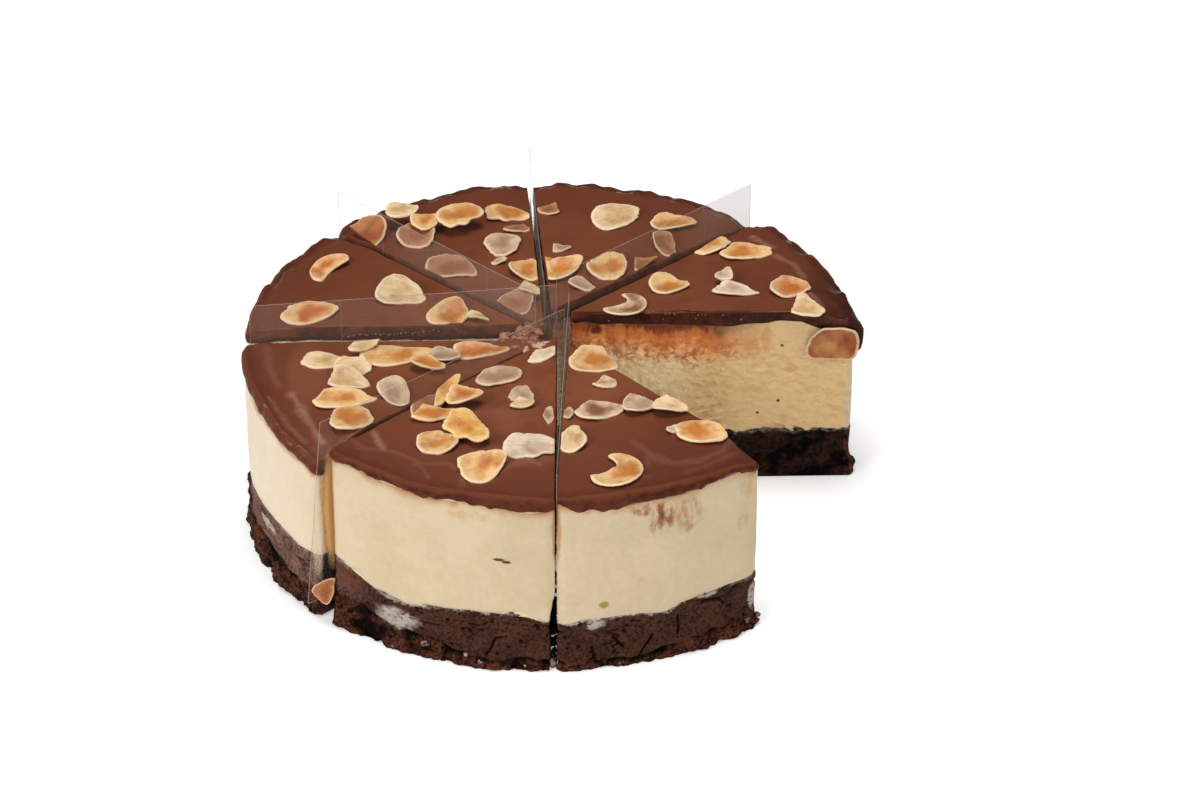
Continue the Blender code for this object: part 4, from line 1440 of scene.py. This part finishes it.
# Scraps of icing and cream at the slices' tips: slot, how many, their middle and spread in plan, and
# their darkest and palest colour
TIP_SCRAPS = {
    "tip_scraps": ("icing", 30, (-9.4, -3.8), (4.6, 3.4), (120, 70, 50), (176, 120, 92)),
    "tip_cream": ("cream", 12, (-6.5, -9.5), (3.4, 1.8), (190, 146, 116), (222, 188, 156)),
}
SCRAP_HEIGHT = 71.0 * MM


def add_tip_scraps():
    """Scraps of icing and cream that the knife left at the slices' tips."""
    draw = random.Random(8)
    for name, (slot, count, middle, spread, dark, pale) in TIP_SCRAPS.items():
        bm = bmesh.new()
        for _ in range(count):
            spot = plan((draw.gauss(middle[0], spread[0]), draw.gauss(middle[1], spread[1])))
            place = Vector((spot.x, spot.y, SCRAP_HEIGHT + draw.uniform(-1.2, 0.1) * MM))
            add_scrap(bm, place, draw.uniform(2.6, 7.0) * MM, draw)
        add_piece(name, bm, [crumb_finish(slot + "_scraps", dark, pale)])


def add_scrap(bm, place, size, draw):
    """One torn scrap: a flat rough smudge, longer than it is wide."""
    made = bmesh.new()
    bmesh.ops.create_icosphere(made, subdivisions=3, radius=size / 2)
    seed = Vector((draw.uniform(0, 90), 0, 0))
    squash = (draw.uniform(0.9, 1.4), draw.uniform(0.35, 0.7), draw.uniform(0.14, 0.26))
    bmesh.ops.scale(made, verts=made.verts, vec=squash)
    for vert in made.verts:
        spot = vert.co / size
        vert.co *= 1 + 0.7 * noise.noise(spot * 2.4 + seed) + 0.25 * noise.noise(spot * 8 + seed)
    turn = Matrix.Rotation(draw.uniform(0, math.pi), 4, "Z")
    turn @= Matrix.Rotation(draw.uniform(-0.3, 0.3), 4, "X")
    bmesh.ops.transform(made, verts=made.verts, matrix=Matrix.Translation(place) @ turn)
    join(bm, made)


# Stage

FLOOR_SIZE = 4.0
FLOOR_DROP = 0.0001
# Each light: its place and size in metres, and its power in watts. All of them point at the cake
LIGHTS = {
    "left": ((-2.3, -0.5, 1.3), 1.2, 8),
    "key": ((-1.6, -1.7, 1.6), 1.2, 32),
    "fill": ((1.6, -1.4, 1.4), 1.2, 9),
    "top": ((0.0, 0.0, 2.5), 1.4, 38),
}
LIT_POINT = Vector((0, 0, 0.04))
WORLD_STRENGTH = 0.11

# The camera, fitted to the photo: metres behind the cake's axis and above the floor, degrees down and round
CAMERA_BACK = 1.3907
CAMERA_UP = 0.8987
CAMERA_DOWN = 31.645
CAMERA_TURN = -0.745
CAMERA_LENS_MM = 135.0
CAMERA_SENSOR_MM = 36.0


def add_floor():
    bm = bmesh.new()
    bmesh.ops.create_grid(bm, x_segments=1, y_segments=1, size=FLOOR_SIZE)
    mesh = bpy.data.meshes.new("floor")
    bm.to_mesh(mesh)
    bm.free()
    mesh.materials.append(floor_finish())
    floor = add_to_scene("floor", mesh)
    floor.location.z = -FLOOR_DROP


def add_lights():
    for name, (place, size, power) in LIGHTS.items():
        lamp = bpy.data.lights.new(name, "AREA")
        lamp.shape = "DISK"
        lamp.size = size
        lamp.energy = power
        light = add_to_scene(name, lamp)
        light.location = place
        light.rotation_euler = (LIT_POINT - Vector(place)).to_track_quat("-Z", "Y").to_euler()
    world = bpy.data.worlds.new("soft_light")
    world.use_nodes = True
    background = world.node_tree.nodes["Background"]
    background.inputs["Color"].default_value = (1.0, 1.0, 1.0, 1.0)
    background.inputs["Strength"].default_value = WORLD_STRENGTH
    bpy.context.scene.world = world


def add_camera():
    lens = bpy.data.cameras.new("camera")
    lens.lens = CAMERA_LENS_MM
    lens.sensor_width = CAMERA_SENSOR_MM
    camera = add_to_scene("camera", lens)
    camera.location = (AXIS_X, AXIS_Y - CAMERA_BACK, CAMERA_UP)
    camera.rotation_euler = (math.radians(90 - CAMERA_DOWN), 0, math.radians(CAMERA_TURN))
    bpy.context.scene.camera = camera


def main():
    brownies = [brownie_finish("brownie", 1.0), brownie_finish("brownie_cut", BROWNIE_CUT_PAINTED_SHADE)]
    creams = [cream_side_finish(), cream_cut_finish()]
    icings = [icing_finish(), icing_cut_finish(), icing_rim_finish()]
    almond = almond_finish()
    film = film_finish()
    for piece in SLICES:
        add_brownie(piece, brownies)
        add_cream(piece, creams)
        surface = add_icing(piece, icings)
        add_flakes(piece, surface, almond)
    for divider in DIVIDERS:
        add_film(divider, film)
    add_base_crumbs(brownies[0])
    add_tip_scraps()
    add_bubbles(bubble_finish())
    add_floor()
    add_lights()
    add_camera()
    bpy.context.scene.view_settings.view_transform = "Standard"


main()
